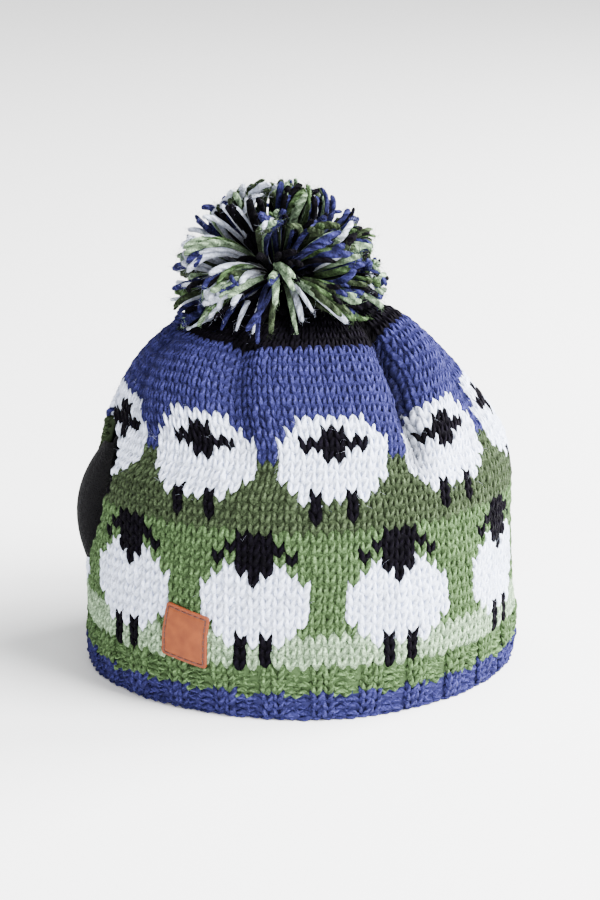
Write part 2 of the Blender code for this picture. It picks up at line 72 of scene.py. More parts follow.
# folds of the crown: place, depth, half width, lowest height, places it wanders per metre up
FOLDS = ((5.0, 0.0022, 2.2, 0.114, 0.0), (17.0, 0.0026, 2.0, 0.110, 0.0),
         (31.3, 0.0062, 2.3, 0.108, 5.0), (41.0, 0.0026, 2.0, 0.114, 20.0),
         (53.0, 0.0034, 2.2, 0.112, -20.0), (65.0, 0.0026, 2.0, 0.114, 0.0),
         (77.0, 0.0040, 2.2, 0.110, 30.0), (89.0, 0.0024, 2.2, 0.114, 0.0))
# the sharp crease along the bottom of a fold, where its two sides meet
CREASES = ((5.0, 0.0015, 0.114, 0.0), (17.0, 0.0026, 0.110, 0.0), (31.3, 0.0066, 0.104, 5.0),
           (41.0, 0.0024, 0.114, 20.0), (53.0, 0.0024, 0.112, -20.0), (65.0, 0.0020, 0.114, 0.0),
           (77.0, 0.0030, 0.110, 30.0), (89.0, 0.0020, 0.114, 0.0))
CREASE_HALF = 0.95
# heights over which folds and creases grow, and where and over what height they die out
FOLD_RISE, FOLD_END, FOLD_FALL = 0.030, 0.154, 0.012
CREASE_RISE, CREASE_END, CREASE_FALL = 0.022, 0.158, 0.010
# the fullness between two folds at the front right: place, half width, height and its ends
LOBE_PLACE, LOBE_HALF, LOBE_HEIGHT = 37.0, 3.4, 0.004
LOBE_START, LOBE_RISE, LOBE_END, LOBE_FALL = 0.136, 0.014, 0.163, 0.006
# soft waves: depth, lobes round the body, slant in radians per metre
WAVES = ((0.0008, 3, 40.0), (0.0006, 5, -65.0))
WAVES_RISE, WAVES_END = 0.030, 0.136
# the crown's wales fan out about this turn, from this height, over this rise
FAN_TURN, FAN_START, FAN_RISE, FAN_AMOUNT = 0.225, 0.112, 0.046, 0.45
# how finely it is measured: up the form, up and round the cloth, round the plan, in each place
HEIGHT_STEPS, ARC_STEPS, ROUND_STEPS, PLAN_STEPS, PLACE_STEPS = 1685, 260, 1440, 720, 4
SLOPE_STEP, TURN_STEP = 0.001, 0.001


def ramp(value, start, rise):
    return np.clip((value - start) / rise, 0.0, 1.0)


def form_at(height):
    """The form's three reaches and its squareness at a height, on smooth curves."""
    i = int(np.clip(np.searchsorted(FORM[:, 0], height, side="right") - 1, 0, len(FORM) - 2))
    before, low, high, after = FORM[max(i - 1, 0)], FORM[i], FORM[i + 1], FORM[min(i + 2, len(FORM) - 1)]
    step = high[0] - low[0]
    t = min(max((height - low[0]) / step, 0.0), 1.0)
    rise_low = (high[1:] - before[1:]) / max(high[0] - before[0], 1e-6) * step
    rise_high = (after[1:] - low[1:]) / max(after[0] - low[0], 1e-6) * step
    return ((2 * t**3 - 3 * t**2 + 1) * low[1:] + (t**3 - 2 * t**2 + t) * rise_low
            + (3 * t**2 - 2 * t**3) * high[1:] + (t**3 - t**2) * rise_high)


def plan(turn, shape):
    """Points of one height's outline; turn 0 is at -X and a quarter turn at the front."""
    right, left, depth, power = shape
    c, s = -np.cos(math.tau * turn), -np.sin(math.tau * turn)
    lean = 0.5 * c * (1.5 - 0.5 * c * c)
    width = right * (0.5 + lean) + left * (0.5 - lean)
    reach = (np.abs(c) ** power + np.abs(s) ** power) ** (-1.0 / power)
    return CENTRE_X + width * reach * c, depth * reach * s


def pushed(place, hole, push):
    """How far the cloth at a place beside a slit is pushed along from it."""
    if push <= 0.0:
        return np.zeros_like(place)
    near = 1.0 - (1.0 - min(hole / push, 1.0)) * np.exp(-place / EDGE_PLACES)
    return push * near * (PUSH_NEAR * np.exp(-place / PUSH_PLACES) + (1 - PUSH_NEAR) * (1.0 - place / HALF))


def slit_at(slit, height):
    """Half width of a slit's hole at a height, and how far the cloth beside it is pushed."""
    return [np.interp(height, slit[:, 0], slit[:, i]) for i in (1, 2)]


def running_length(place, back, height, total):
    """Length round the body to each place."""
    share = BACK_SHARE if back else 1.0
    count = ROUND - place if back else place
    hole, push = slit_at(SPOUT_SLIT, height)
    length = (total * 0.5 * count / HALF + pushed(count, hole * share, push * share)
              - pushed(HALF - count, *slit_at(HANDLE_SLIT, height)))
    return total - length if back else length


def furrow(place, height, foot, half, low, wander):
    """1 along the bottom of a fold, falling to 0 beside it."""
    away = np.abs(place - foot - wander * max(height - low, 0.0))
    away = np.minimum(away, ROUND - away) / half
    return np.exp(-away * away)


def relief(place, height):
    """How far the cloth stands out of the form, or in where it folds."""
    depth = np.zeros_like(place)
    for foot, deep, half, low, wander in FOLDS:
        depth += (deep * furrow(place, height, foot, half, low, wander)
                  * ramp(height, low, FOLD_RISE) * (1 - ramp(height, FOLD_END, FOLD_FALL)))
    for foot, deep, low, wander in CREASES:
        depth += (deep * furrow(place, height, foot, CREASE_HALF, low, wander)
                  * ramp(height, low, CREASE_RISE) * (1 - ramp(height, CREASE_END, CREASE_FALL)))
    lobe = np.exp(-((place - LOBE_PLACE) / LOBE_HALF) ** 2)
    depth -= (LOBE_HEIGHT * lobe * ramp(height, LOBE_START, LOBE_RISE)
              * (1 - ramp(height, LOBE_END, LOBE_FALL)))
    angle = math.tau * place / ROUND
    swell = sum(deep * np.sin(lobes * angle + slant * height) for deep, lobes, slant in WAVES)
    return ramp(height, 0.0, WAVES_RISE) * (1 - ramp(height, WAVES_END, WAVES_RISE)) * swell - depth


heights = np.linspace(0.0, CLOTH_TOP, HEIGHT_STEPS + 1)
mean_reach = np.array([0.25 * (form_at(z)[0] + form_at(z)[1]) + 0.5 * form_at(z)[2] for z in heights])
arcs = np.concatenate([[0.0], np.cumsum(np.hypot(np.diff(heights), np.diff(mean_reach)))])
arc_table = np.linspace(0.0, arcs[-1], ARC_STEPS + 1)
height_table = np.interp(arc_table, arcs, heights)
share_round = np.linspace(0.0, 1.0, ROUND_STEPS + 1)
turns = np.linspace(0.0, 1.0, PLAN_STEPS + 1)
front_places = np.linspace(0.0, HALF, int(HALF) * PLACE_STEPS + 1)
back_places = front_places + HALF
cloth_points, run_table, girths = [], [], []
for z in height_table:
    shape = form_at(z)
    line_x, line_y = plan(turns, shape)
    lengths = np.concatenate([[0.0], np.cumsum(np.hypot(np.diff(line_x), np.diff(line_y)))])
    total = lengths[-1]
    runs = [running_length(front_places, False, z, total), running_length(back_places, True, z, total)]
    place = np.interp(share_round * total, np.concatenate(runs), np.concatenate([front_places, back_places]))
    turn = np.interp(share_round * total, lengths, turns)
    angle = math.tau * (turn - FAN_TURN)
    turn = turn + (FAN_AMOUNT * ramp(z, FAN_START, FAN_RISE) * np.sin(angle) * (1 + np.cos(angle))
                   / (2 * math.tau))
    x, y = plan(turn, shape)
    (ax, ay), (bx, by) = plan(turn - TURN_STEP, shape), plan(turn + TURN_STEP, shape)
    size = np.hypot(bx - ax, by - ay)
    out_x, out_y = (by - ay) / size, -(bx - ax) / size
    # the slope is read just above and below, and just inside the gathered top
    high = min(z + SLOPE_STEP, CLOTH_TOP - 0.0001)
    low = max(min(z, CLOTH_TOP - 0.0011) - SLOPE_STEP, 0.0)
    (hx, hy), (lx, ly) = plan(turn, form_at(high)), plan(turn, form_at(low))
    slope = (np.hypot(hx - CENTRE_X, hy) - np.hypot(lx - CENTRE_X, ly)) / (high - low)
    level = 1.0 / np.hypot(1.0, slope)
    out = relief(place, z)
    cloth_points.append(np.stack([x + out_x * level * out, y + out_y * level * out,
                                  z - slope * level * out], -1))
    run_table.append([runs[0] / total, runs[1] / total])
    girths.append(total)
cloth_points, run_table, girths = np.array(cloth_points), np.array(run_table), np.array(girths)
along = np.gradient(cloth_points[:, :-1], axis=1)
along[:, 0] = cloth_points[:, 1] - cloth_points[:, -2]
along[:, -1] = along[:, 0] * 0.5 + (cloth_points[:, 0] - cloth_points[:, -3]) * 0.5
along = np.concatenate([along, along[:, :1]], axis=1)
upward = np.gradient(cloth_points, axis=0)
cloth_normals = np.cross(along, upward)
cloth_normals /= np.linalg.norm(cloth_normals, axis=2, keepdims=True) + 1e-12


def between(table, row, column):
    """Values of a table between its rows and columns."""
    row = np.clip(row, 0.0, table.shape[0] - 1.001)
    column = np.clip(column, 0.0, table.shape[1] - 1.001)
    i, j = row.astype(int), column.astype(int)
    a, b = row - i, column - j
    if table.ndim == 3:
        a, b = a[..., None], b[..., None]
    return ((table[i, j] * (1 - b) + table[i, j + 1] * b) * (1 - a)
            + (table[i + 1, j] * (1 - b) + table[i + 1, j + 1] * b) * a)


def on_cloth(share, arc, out):
    """Points at a share of the way round and an arc up from the hem, out from the cloth's face."""
    share, arc, out = np.broadcast_arrays(np.asarray(share, float), arc, out)
    row, column = arc / arcs[-1] * ARC_STEPS, (share % 1.0) * ROUND_STEPS
    normal = between(cloth_normals, row, column)
    normal = normal / np.linalg.norm(normal, axis=-1, keepdims=True)
    return between(cloth_points, row, column) + normal * out[..., None]


# ---- Knit: the wales and rows of the chart, and which yarn each stitch is worked in
# 108 wales go round, nine repeats of twelve. From the hem the bands are blue and green rib,
# pale green, green, olive, blue and black, with a ring of sheep worked in across the greens
# and a second, larger ring across the olive and the blue.
WALES, REPEAT = 108, 12
ROW_MARKS = (0, 6, 9, 20, 26, 37, 45)
ROW_ARCS = (0.0005, 0.0225, 0.0366, 0.0883, 0.1146, 0.1702, 0.2100)
ROWS, BLUE_TOP = 45, 37
BANDS = ((3, "blue"), (6, "green"), (9, "pale"), (19, "green"), (26, "olive"), (BLUE_TOP, "blue"),
         (ROWS, "black"))
HIGHER_BLUE = range(35, 60)    # in these wales, past the front fold, the blue runs one row higher
SMALL_SHEEP_WALE, SMALL_SHEEP_ROW = 8, 8
BIG_SHEEP_WALE, BIG_SHEEP_ROW = 10, 22
SMALL_FLEECE = {0: (0, 5), 1: (1, 6), 2: (0, 7), 3: (1, 6), 4: (2, 5)}
SMALL_HEAD = {0: (6, 10), 1: (7, 10), 2: (9, 9), 3: (8, 8)}
BIG_FLEECE = {0: (2, 4, 5, 7), 1: range(1, 9), 2: range(10), 3: range(10), 4: range(10),
              5: range(10), 6: range(1, 9), 7: range(2, 8)}
BIG_HEAD = {4: (4, 5), 5: (2, 3, 4, 5, 6, 7), 6: (4, 5)}
# families of wales in the crown, between its folds: bounds and middle in 96ths, and how far
# the wales have spread from the middle by the crown, where the outer ones go into the folds
GORES = ((0, 5, 0, 1.20), (5, 17, 11, 1.08), (17, 31.3, 24.15, 1.00), (31.3, 41, 36.15, 1.15),
         (41, 48, 48, 1.25), (48, 53, 48, 1.25), (53, 65, 59, 1.35), (65, 77, 71, 1.35),
         (77, 89, 83, 1.35), (89, 96, 96, 1.20))
gore_table = np.array(GORES, float)
BACK_GORE = 5            # the families from this one on lie in the back half
BLEND_START, BLEND_RISE = 0.100, 0.022    # from even wales below to those of the crown
TUCK, TUCK_RISE = 0.5, 0.012   # places by which wales run on under a fold, and their growth


def arc_of(row):
    return np.interp(row, ROW_MARKS, ROW_ARCS)


def row_of(arc):
    return np.interp(arc, ROW_ARCS, ROW_MARKS)


def height_of(arc):
    return np.interp(arc, arc_table, height_table)


def girth_at(arc):
    return np.interp(arc, arc_table, girths)


def fanned(wale, gore, height):
    """The place of a wale at a height, as its family spreads towards the crown."""
    middle, spread = gore_table[gore, 2], gore_table[gore, 3]
    return middle + (wale * ROUND / WALES - middle) * (1 + (spread - 1) * ramp(height, FAN_START, FAN_RISE))


def place_share(place, arc, back):
    """Share of the way round at which a place of the front half or the back half lies."""
    return between(run_table[:, int(back)], arc / arcs[-1] * ARC_STEPS, (place - HALF * back) * PLACE_STEPS)


def wale_share(wale, arc, gore):
    """Share of the way round at which a wale of one family lies, at an arc from the hem."""
    wale, arc, gore = np.broadcast_arrays(np.asarray(wale, float), arc, gore)
    height = height_of(arc)
    place = fanned(wale, gore, height)
    crown = np.where(gore >= BACK_GORE, place_share(place, arc, True), place_share(place, arc, False))
    blend = ramp(height, BLEND_START, BLEND_RISE)
    return (1 - blend) * wale / WALES + blend * crown


def gore_bounds(gore, height):
    """Places between which a family of wales lies at a height, as the folds beside it wander."""
    ends = []
    for foot in GORES[gore][:2]:
        low, turn = next((fold[3:] for fold in FOLDS if fold[0] == foot), (0.0, 0.0))
        ends.append(foot + turn * np.maximum(height - low, 0.0))
    return ends


def slit_share(arc, edge):
    """Share of the way round at which a slit's edge lies: spout front and back, handle both."""
    height, girth = height_of(arc), girth_at(arc)
    spout, handle = slit_at(SPOUT_SLIT, height)[0], slit_at(HANDLE_SLIT, height)[0]
    if edge == "spout front":
        return spout / girth
    if edge == "spout back":
        return 1.0 - BACK_SHARE * spout / girth
    return 0.5 + (handle if edge == "handle back" else -handle) / girth


def yarn_at(wale, row):
    """The yarn of one stitch of the chart. A small sheep is the same on both sides of its middle."""
    across, up = (wale - SMALL_SHEEP_WALE + 5) % REPEAT - 5, row - SMALL_SHEEP_ROW
    if abs(across) == 1 and -2 <= up <= 0:
        return "black"
    for chart, yarn in ((SMALL_FLEECE, "white"), (SMALL_HEAD, "black")):
        low, high = chart.get(abs(across), (1, 0))
        if low <= up <= high:
            return yarn
    across, up = (wale - BIG_SHEEP_WALE) % REPEAT, row - BIG_SHEEP_ROW
    if across in (3, 6) and -2 <= up <= 0 or across in BIG_HEAD.get(up, ()):
        return "black"
    if across in BIG_FLEECE.get(up, ()):
        return "white"
    if row == BLUE_TOP and wale in HIGHER_BLUE:
        return "blue"
    return next(yarn for top, yarn in BANDS if row < top)


# every stitch that is worked: its wale, its row, its family of wales and its yarn
worked = []
SLIT_EDGES = ("spout front", "spout back", "handle front", "handle back")
for row in range(ROWS):
    middle_arc = float(arc_of(row + 0.6))
    height = float(height_of(middle_arc))
    spout_front, spout_back, handle_front, handle_back = (
        float(slit_share(middle_arc, edge)) for edge in SLIT_EDGES)
    # the outer wales of a family run on under the fold's edge
    tuck = TUCK * float(ramp(height, FOLDS[0][3], TUCK_RISE))
    for gore in range(len(GORES)):
        low, high = gore_bounds(gore, height)
        low, high = low - (tuck if gore > 0 else 0), high + (tuck if gore < len(GORES) - 1 else 0)
        for wale in range(WALES):
            place = fanned(wale + 0.5, gore, height)
            if not low <= place < high or (gore < BACK_GORE) != (wale < WALES // 2):
                continue
            share = float(wale_share(wale + 0.5, middle_arc, gore))
            if spout_front <= share <= spout_back and not handle_front < share < handle_back:
                worked.append((wale, row, gore, yarn_at(wale, row)))

# ---- Ground of the knit: the back of the fabric, seen only in the gaps between stitches
# The strands that pass from stitch to stitch close the cloth behind its face. It is one sheet
# 3.6 mm thick, cast on flat at the hem, open along both slits and closed under the pompom.
GROUND_DEPTH, GROUND_THICKNESS = 0.0011, 0.0036
# painted shade: the ground's yarn colour is darkened by this share, for the shade between the stitches
GROUND_PAINTED_SHADE = 0.85
GROUND_RIM = 0.160       # the open edge above this height is the gathered one
SEAM_GAP = 2e-5          # corners this near to each other are sewn into one
YARN_HEX = {"blue": "2A2A58", "green": "455B39", "pale": "869F7F", "olive": "333E2A",
            "white": "DFE8FF", "black": "06040A"}


def linear(hex_colour):
    """An sRGB hex colour as linear RGBA."""
    parts = [int(hex_colour[i:i + 2], 16) / 255.0 for i in (0, 2, 4)]
    return [p / 12.92 if p <= 0.04045 else ((p + 0.055) / 1.055) ** 2.4 for p in parts] + [1.0]


def node(tree, kind, settings=None, links=None, values=None):
    """Adds a node with its settings, its input values and its incoming links."""
    new = tree.nodes.new(kind)
    for key, value in (settings or {}).items():
        setattr(new, key, value)
    for key, value in (values or {}).items():
        new.inputs[key].default_value = value
    for key, socket in (links or {}).items():
        tree.links.new(socket, new.inputs[key])
    return new


def new_material(name):
    """A material with an empty tree."""
    mat = bpy.data.materials.new(name)
    mat.use_nodes = True
    mat.node_tree.nodes.clear()
    return mat, mat.node_tree


def finish_material(tree, links, values):
    """Adds a material's shader, with its links and values, and its output."""
    shader = node(tree, "ShaderNodeBsdfPrincipled", links=links, values=values)
    node(tree, "ShaderNodeOutputMaterial", links={"Surface": shader.outputs["BSDF"]})


def mesh_of(name, bm):
    """A finished bmesh as a mesh."""
    mesh = bpy.data.meshes.new(name)
    bm.to_mesh(mesh)
    bm.free()
    return mesh


def show(mesh, mat):
    """Puts a finished mesh in the scene at the origin, smooth and of one material."""
    mesh.polygons.foreach_set("use_smooth", np.ones(len(mesh.polygons), bool))
    mesh.materials.append(mat)
    piece = bpy.data.objects.new(mesh.name, mesh)
    bpy.context.scene.collection.objects.link(piece)
    return piece


def thicken(piece, thickness, offset):
    """Gives a sheet its thickness: an offset of -1 is inwards, and 0 is to both sides."""
    walls = piece.modifiers.new("thickness", "SOLIDIFY")
    walls.thickness, walls.offset = thickness, offset


def cloth_grid(columns, arc_rows, edges, out_of):
    """Both halves of a sheet as grids between the slits, laid on the cloth and joined."""
    bm = bmesh.new()
    for start, end in edges:
        made = bmesh.ops.create_grid(bm, x_segments=columns, y_segments=len(arc_rows) - 1, size=0.5)["verts"]
        across = np.array([v.co.x + 0.5 for v in made])
        level = np.rint(np.array([v.co.y + 0.5 for v in made]) * (len(arc_rows) - 1)).astype(int)
        arc = np.asarray(arc_rows)[level]
        first, last = start(arc), end(arc)
        points = on_cloth(first + (last - first) * across, arc, out_of(arc))
        for vert, point in zip(made, points):
            vert.co = point
    bmesh.ops.remove_doubles(bm, verts=bm.verts, dist=SEAM_GAP)
    return bm


ground_rows = arc_of(np.linspace(0.0, ROWS, 2 * ROWS + 1))
ground_rows[0] = 0.0
bm = cloth_grid(WALES, ground_rows,
                ((lambda a: slit_share(a, "spout front"), lambda a: slit_share(a, "handle front")),
                 (lambda a: slit_share(a, "handle back"), lambda a: slit_share(a, "spout back"))),
                lambda a: np.full_like(a, -GROUND_DEPTH))
rim = [e for e in bm.edges if e.is_boundary and e.verts[0].co.z > GROUND_RIM]
bmesh.ops.contextual_create(bm, geom=rim)
bmesh.ops.recalc_face_normals(bm, faces=bm.faces)
mesh = mesh_of("knit_ground", bm)
# the back of each stitch is of the same yarn as its face
wales, rows, gores = (np.array([stitch[i] for stitch in worked], float) for i in range(3))
stitch_arcs = arc_of(rows + 0.75)
stitch_places = on_cloth(wale_share(wales + 0.5, stitch_arcs, gores.astype(int)), stitch_arcs, -GROUND_DEPTH)
nearest = KDTree(len(worked))
for index, place in enumerate(stitch_places):
    nearest.insert(place, index)
nearest.balance()
colours = np.array([linear(YARN_HEX[worked[nearest.find(face.center)[1]][3]]) for face in mesh.polygons])
attribute = mesh.color_attributes.new("yarn", "FLOAT_COLOR", "CORNER")
totals = np.empty(len(mesh.polygons), int)
mesh.polygons.foreach_get("loop_total", totals)
attribute.data.foreach_set("color", np.repeat(colours, totals, axis=0).ravel())

# Wool strands behind the face: dull, and in their yarn's colour darkened by painted shade, since little
# light reaches them.
ground_wool, tree = new_material("aran wool, back of the fabric")
yarn_colour = node(tree, "ShaderNodeVertexColor", {"layer_name": "yarn"})
coords = node(tree, "ShaderNodeTexCoord")
grain = node(tree, "ShaderNodeTexNoise", values={"Scale": 900.0, "Detail": 3.0},
             links={"Vector": coords.outputs["Object"]})
depth = node(tree, "ShaderNodeMapRange", values={"To Min": GROUND_PAINTED_SHADE * 0.7, "To Max": GROUND_PAINTED_SHADE * 1.3},
             links={"Value": grain.outputs["Fac"]})
dark = node(tree, "ShaderNodeVectorMath", {"operation": "SCALE"},
            links={0: yarn_colour.outputs["Color"], "Scale": depth.outputs["Result"]})
bump = node(tree, "ShaderNodeBump", values={"Strength": 0.8, "Distance": 0.0005},
            links={"Height": grain.outputs["Fac"]})
finish_material(tree, {"Base Color": dark.outputs["Vector"], "Normal": bump.outputs["Normal"]},
                {"Roughness": 0.95, "Specular IOR Level": 0.15})
ground = show(mesh, ground_wool)
thicken(ground, GROUND_THICKNESS, -1.0)
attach(ground, "root")
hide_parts("knit_body")

# ---- Stitches: the face of the knit, one V of plied wool for every stitch of the chart
# Each leg of a V is a length of the yarn, fattest in its middle, that dives behind the stitch
# above. They are gathered into one piece for each colour of yarn, as balls of wool are.
# Each line gives wales across, rows up, metres out, thickness in wales and painted light and shade, darker
# where the yarn dives in.
LEG_LINE = ((0.05, 0.06, -0.0017, 0.14, 0.88), (0.12, 0.40, -0.0008, 0.205, 0.97),
            (0.235, 0.86, -0.0004, 0.23, 1.03), (0.35, 1.32, -0.0006, 0.22, 0.98),
            (0.42, 1.78, -0.0019, 0.14, 0.82))
HEAD_LINE = ((-0.62, -0.05, -0.0034, 0.14, 0.7), (-0.36, 0.40, -0.0016, 0.22, 1.1),
             (0.0, 0.62, -0.0009, 0.25, 1.2), (0.36, 0.40, -0.0016, 0.22, 1.1),
             (0.62, -0.05, -0.0034, 0.14, 0.7))
SINKER_LINE = ((-0.40, 0.46, -0.0034, 0.14, 0.7), (-0.25, 0.10, -0.0016, 0.20, 1.05),
               (0.0, -0.08, -0.0009, 0.23, 1.15), (0.25, 0.10, -0.0016, 0.20, 1.05),
               (0.40, 0.46, -0.0034, 0.14, 0.7))
CAST_ON_LINE = ((-0.62, 0.22, -0.0030, 0.14, 0.6), (-0.30, 0.38, -0.0008, 0.24, 0.95),
                (0.05, 0.52, -0.0003, 0.27, 1.0), (0.40, 0.70, -0.0010, 0.24, 0.95),
                (0.72, 0.84, -0.0030, 0.14, 0.6))
EDGE_LINE = ((-0.16, -0.10, -0.0030, 0.12, 0.6), (-0.06, 0.28, -0.0010, 0.23, 0.95),
             (0.04, 0.62, -0.0006, 0.25, 1.0), (0.12, 0.95, -0.0012, 0.22, 0.95),
             (0.20, 1.30, -0.0032, 0.12, 0.6))
LEG_FLATNESS = 0.85      # soft yarn lies a little flat in the fabric
LEG_SIDES = 6
WALE_PITCH, ROW_PITCH = 0.00545, 0.0047
RIB_ROWS, RIB_REPEAT, RIB_KNIT_WALES = 6, 4, (1, 2)
CAST_ON_ROW, CAST_ON_RISE = -0.45, 0.0002
CHAIN_FLOOR, SPOUT_HEAD, HANDLE_HEAD = 0.0400, 0.1255, 0.1130
FLOOR_GAP = 0.0002       # no yarn goes below this
# how far a stitch strays, in wales, rows and metres, and how much it varies in size and lean
STRAY, SIZE_SPREAD, LEAN_SPREAD, TONE_SPREAD = (0.030, 0.045, 0.00016), 0.07, 0.05, 0.08
CREASE_WALES, CREASE_PAINTED_SHADE = 1.5, 0.85    # how wide painted shade darkens a crease, and how dark at its bottom


def yarn_template(line, sides, flat=1.0):
    """One length of yarn in wales, rows and metres: a ring is extruded along its line."""
    bm = bmesh.new()
    ring = bmesh.ops.create_circle(bm, cap_ends=True, segments=sides, radius=1.0)["verts"]
    rings, cap = [list(ring)], next(iter(bm.faces))
    for _ in line[1:]:
        made = bmesh.ops.extrude_face_region(bm, geom=[cap])["geom"]
        old_cap, cap = cap, next(g for g in made if isinstance(g, bmesh.types.BMFace))
        # the new ring is put in the order of the ring that it came from
        after = {e.other_vert(v): v for v in cap.verts for e in v.link_edges
                 if e.other_vert(v) in rings[-1]}
        rings.append([after[v] for v in rings[-1]])
        # no face is left inside the yarn where it was extruded from
        if len(rings) > 2 and old_cap.is_valid:
            bmesh.ops.delete(bm, geom=[old_cap], context="FACES_ONLY")
    line = np.array(line)
    metres = line[:, :3] * (WALE_PITCH, ROW_PITCH, 1.0)
    heading = np.gradient(metres, axis=0)
    heading /= np.linalg.norm(heading, axis=1, keepdims=True)
    length = np.concatenate([[0.0], np.cumsum(np.linalg.norm(np.diff(metres, axis=0), axis=1))])
    for i, ring in enumerate(rings):
        side = np.cross(heading[i], (0.0, 0.0, 1.0))
        side /= np.linalg.norm(side)
        up = np.cross(side, heading[i])
        for k, vert in enumerate(ring):
            angle = math.tau * k / sides
            outward = side * math.cos(angle) + flat * up * math.sin(angle)
            vert.co = (metres[i] + line[i, 3] * WALE_PITCH * outward) / (WALE_PITCH, ROW_PITCH, 1.0)
    bmesh.ops.recalc_face_normals(bm, faces=bm.faces)
    # the points are given ring by ring, and the faces in the order of their points
    order = {vert: i for i, vert in enumerate(v for ring in rings for v in ring)}
    points = np.array([v.co for v in order])
    faces = []
    for face in bm.faces:
        corners = [order[v] for v in face.verts]
        first = corners.index(min(corners))
        faces.append(corners[first:] + corners[:first])
    faces.sort()
    bm.free()
    # round the yarn from 0 to 1, and along it in millimetres
    corner_uv = []
    for corners in faces:
        turned = [i % sides for i in corners]
        wraps = len(corners) == 4 and max(turned) - min(turned) > 1
        corner_uv += [((sides if wraps and k == 0 else k) / sides, length[i // sides] * 1000.0)
                      for i, k in zip(corners, turned)]
    # painted light and shade along the yarn, from the line's last column
    painted_light = np.repeat(line[:, 4], sides) if line.shape[1] > 4 else np.ones(len(points))
    return points, faces, np.array(corner_uv), painted_light


def joined(name, groups, mat):
    """Many small lengths of yarn as one mesh. A group is points (count, n, 3), faces, uv, shades: tone with
    painted shade.
    """
    verts, loops, sizes, uvs, shades = [], [], [], [], []
    base = 0
    for points, faces, uv, tone_and_painted_shade in groups:
        count, n = points.shape[:2]
        corners = np.concatenate([np.array(face) for face in faces])
        verts.append(points.reshape(-1, 3))
        loops.append((corners + (np.arange(count) * n)[:, None] + base).ravel())
        sizes.append(np.tile([len(face) for face in faces], count))
        uvs.append(np.tile(uv, (count, 1)))
        shades.append(tone_and_painted_shade.ravel() if tone_and_painted_shade.ndim > 1 else np.repeat(tone_and_painted_shade, n))
        base += count * n
    verts, loops, sizes = np.concatenate(verts), np.concatenate(loops), np.concatenate(sizes)
    starts = np.concatenate([[0], np.cumsum(sizes)[:-1]])
    mesh = bpy.data.meshes.new(name)
    mesh.vertices.add(len(verts))
    mesh.vertices.foreach_set("co", verts.ravel())
    mesh.loops.add(len(loops))
    mesh.loops.foreach_set("vertex_index", loops.astype(np.int32))
    mesh.polygons.add(len(sizes))
    mesh.polygons.foreach_set("loop_start", starts.astype(np.int32))
    mesh.update(calc_edges=True)
    uv_map = mesh.uv_layers.new(name="yarn")
    uv_map.data.foreach_set("uv", np.concatenate(uvs).astype(np.float32).ravel())
    tone_and_painted_shade_values = mesh.attributes.new("tone_and_painted_shade", "FLOAT", "POINT")
    tone_and_painted_shade_values.data.foreach_set("value", np.concatenate(shades).astype(np.float32))
    return show(mesh, mat)


def wool(name, hex_colour, fleck, sheen, ply=4.5, hair=1.0):
    """Plied wool: soft, dull and slightly mottled, with the twist of its plies."""
    mat, tree = new_material(name)
    colour = linear(hex_colour)[:3]
    uv = node(tree, "ShaderNodeUVMap", {"uv_map": "yarn"})
    # two plies: a band repeats at 0.2 pi, so it turns twice round the yarn in one length of
    # twist, given in millimetres
    twist = node(tree, "ShaderNodeMapping", {"vector_type": "POINT"}, {"Vector": uv.outputs["UV"]},
                 {"Scale": (0.4 * math.pi, 0.2 * math.pi / ply, 0.0)})
    plies = node(tree, "ShaderNodeTexWave", {"wave_type": "BANDS", "bands_direction": "DIAGONAL"},
                 values={"Scale": 1.0, "Distortion": 1.5, "Detail": 2.0, "Detail Scale": 3.0},
                 links={"Vector": twist.outputs["Vector"]})
    # fibres lie along the yarn: streaks 1 mm wide, drawn coarser than the real ones to show
    lie = node(tree, "ShaderNodeMapping", values={"Scale": (9.0, 1.3, 1.0)},
               links={"Vector": uv.outputs["UV"]})
    coords = node(tree, "ShaderNodeTexCoord")
    place = node(tree, "ShaderNodeVectorMath", {"operation": "SCALE"}, values={"Scale": 300.0},
                 links={0: coords.outputs["Object"]})
    spot = node(tree, "ShaderNodeVectorMath", {"operation": "ADD"},
                links={0: lie.outputs["Vector"], 1: place.outputs["Vector"]})
    fibres = node(tree, "ShaderNodeTexNoise", values={"Scale": 1.0, "Detail": 4.0, "Roughness": 0.65},
                  links={"Vector": spot.outputs["Vector"]})
    # heather mottling, 3 mm across
    mottle = node(tree, "ShaderNodeTexNoise", values={"Scale": 330.0, "Detail": 2.0},
                  links={"Vector": coords.outputs["Object"]})
    # the colour starts from each point's tone and painted shade; how far each of these lightens and darkens
    # the wool, as a share of the fleck
    product = node(tree, "ShaderNodeAttribute", {"attribute_name": "tone_and_painted_shade"}).outputs["Fac"]
    for pattern, low, high, darker, lighter in (
            (fibres, 0.36, 0.64, 1.0, 1.0), (mottle, 0.3, 0.7, 0.5, 0.5), (plies, 0.0, 1.0, 0.7, 0.3)):
        tone = node(tree, "ShaderNodeMapRange", links={"Value": pattern.outputs["Fac"]},
                    values={"From Min": low, "From Max": high,
                            "To Min": 1 - darker * fleck, "To Max": 1 + lighter * fleck})
        product = node(tree, "ShaderNodeMath", {"operation": "MULTIPLY"},
                       links={0: tone.outputs["Result"], 1: product}).outputs[0]
    dyed = node(tree, "ShaderNodeVectorMath", {"operation": "SCALE"},
                values={0: colour}, links={"Scale": product})
    height = node(tree, "ShaderNodeMath", {"operation": "MULTIPLY_ADD"}, values={1: 0.6},
                  links={0: fibres.outputs["Fac"], 2: plies.outputs["Fac"]})
    bump = node(tree, "ShaderNodeBump", values={"Strength": 0.9 * hair, "Distance": 0.0007},
                links={"Height": height.outputs[0]})
    finish_material(tree, {"Base Color": dyed.outputs["Vector"], "Normal": bump.outputs["Normal"]},
                    {"Roughness": 0.92, "Specular IOR Level": 0.05, "Sheen Weight": sheen,
                     "Sheen Tint": [min(1.0, 2.2 * c + 0.04) for c in colour] + [1.0],
                     "Sheen Roughness": 0.5})
    return mat


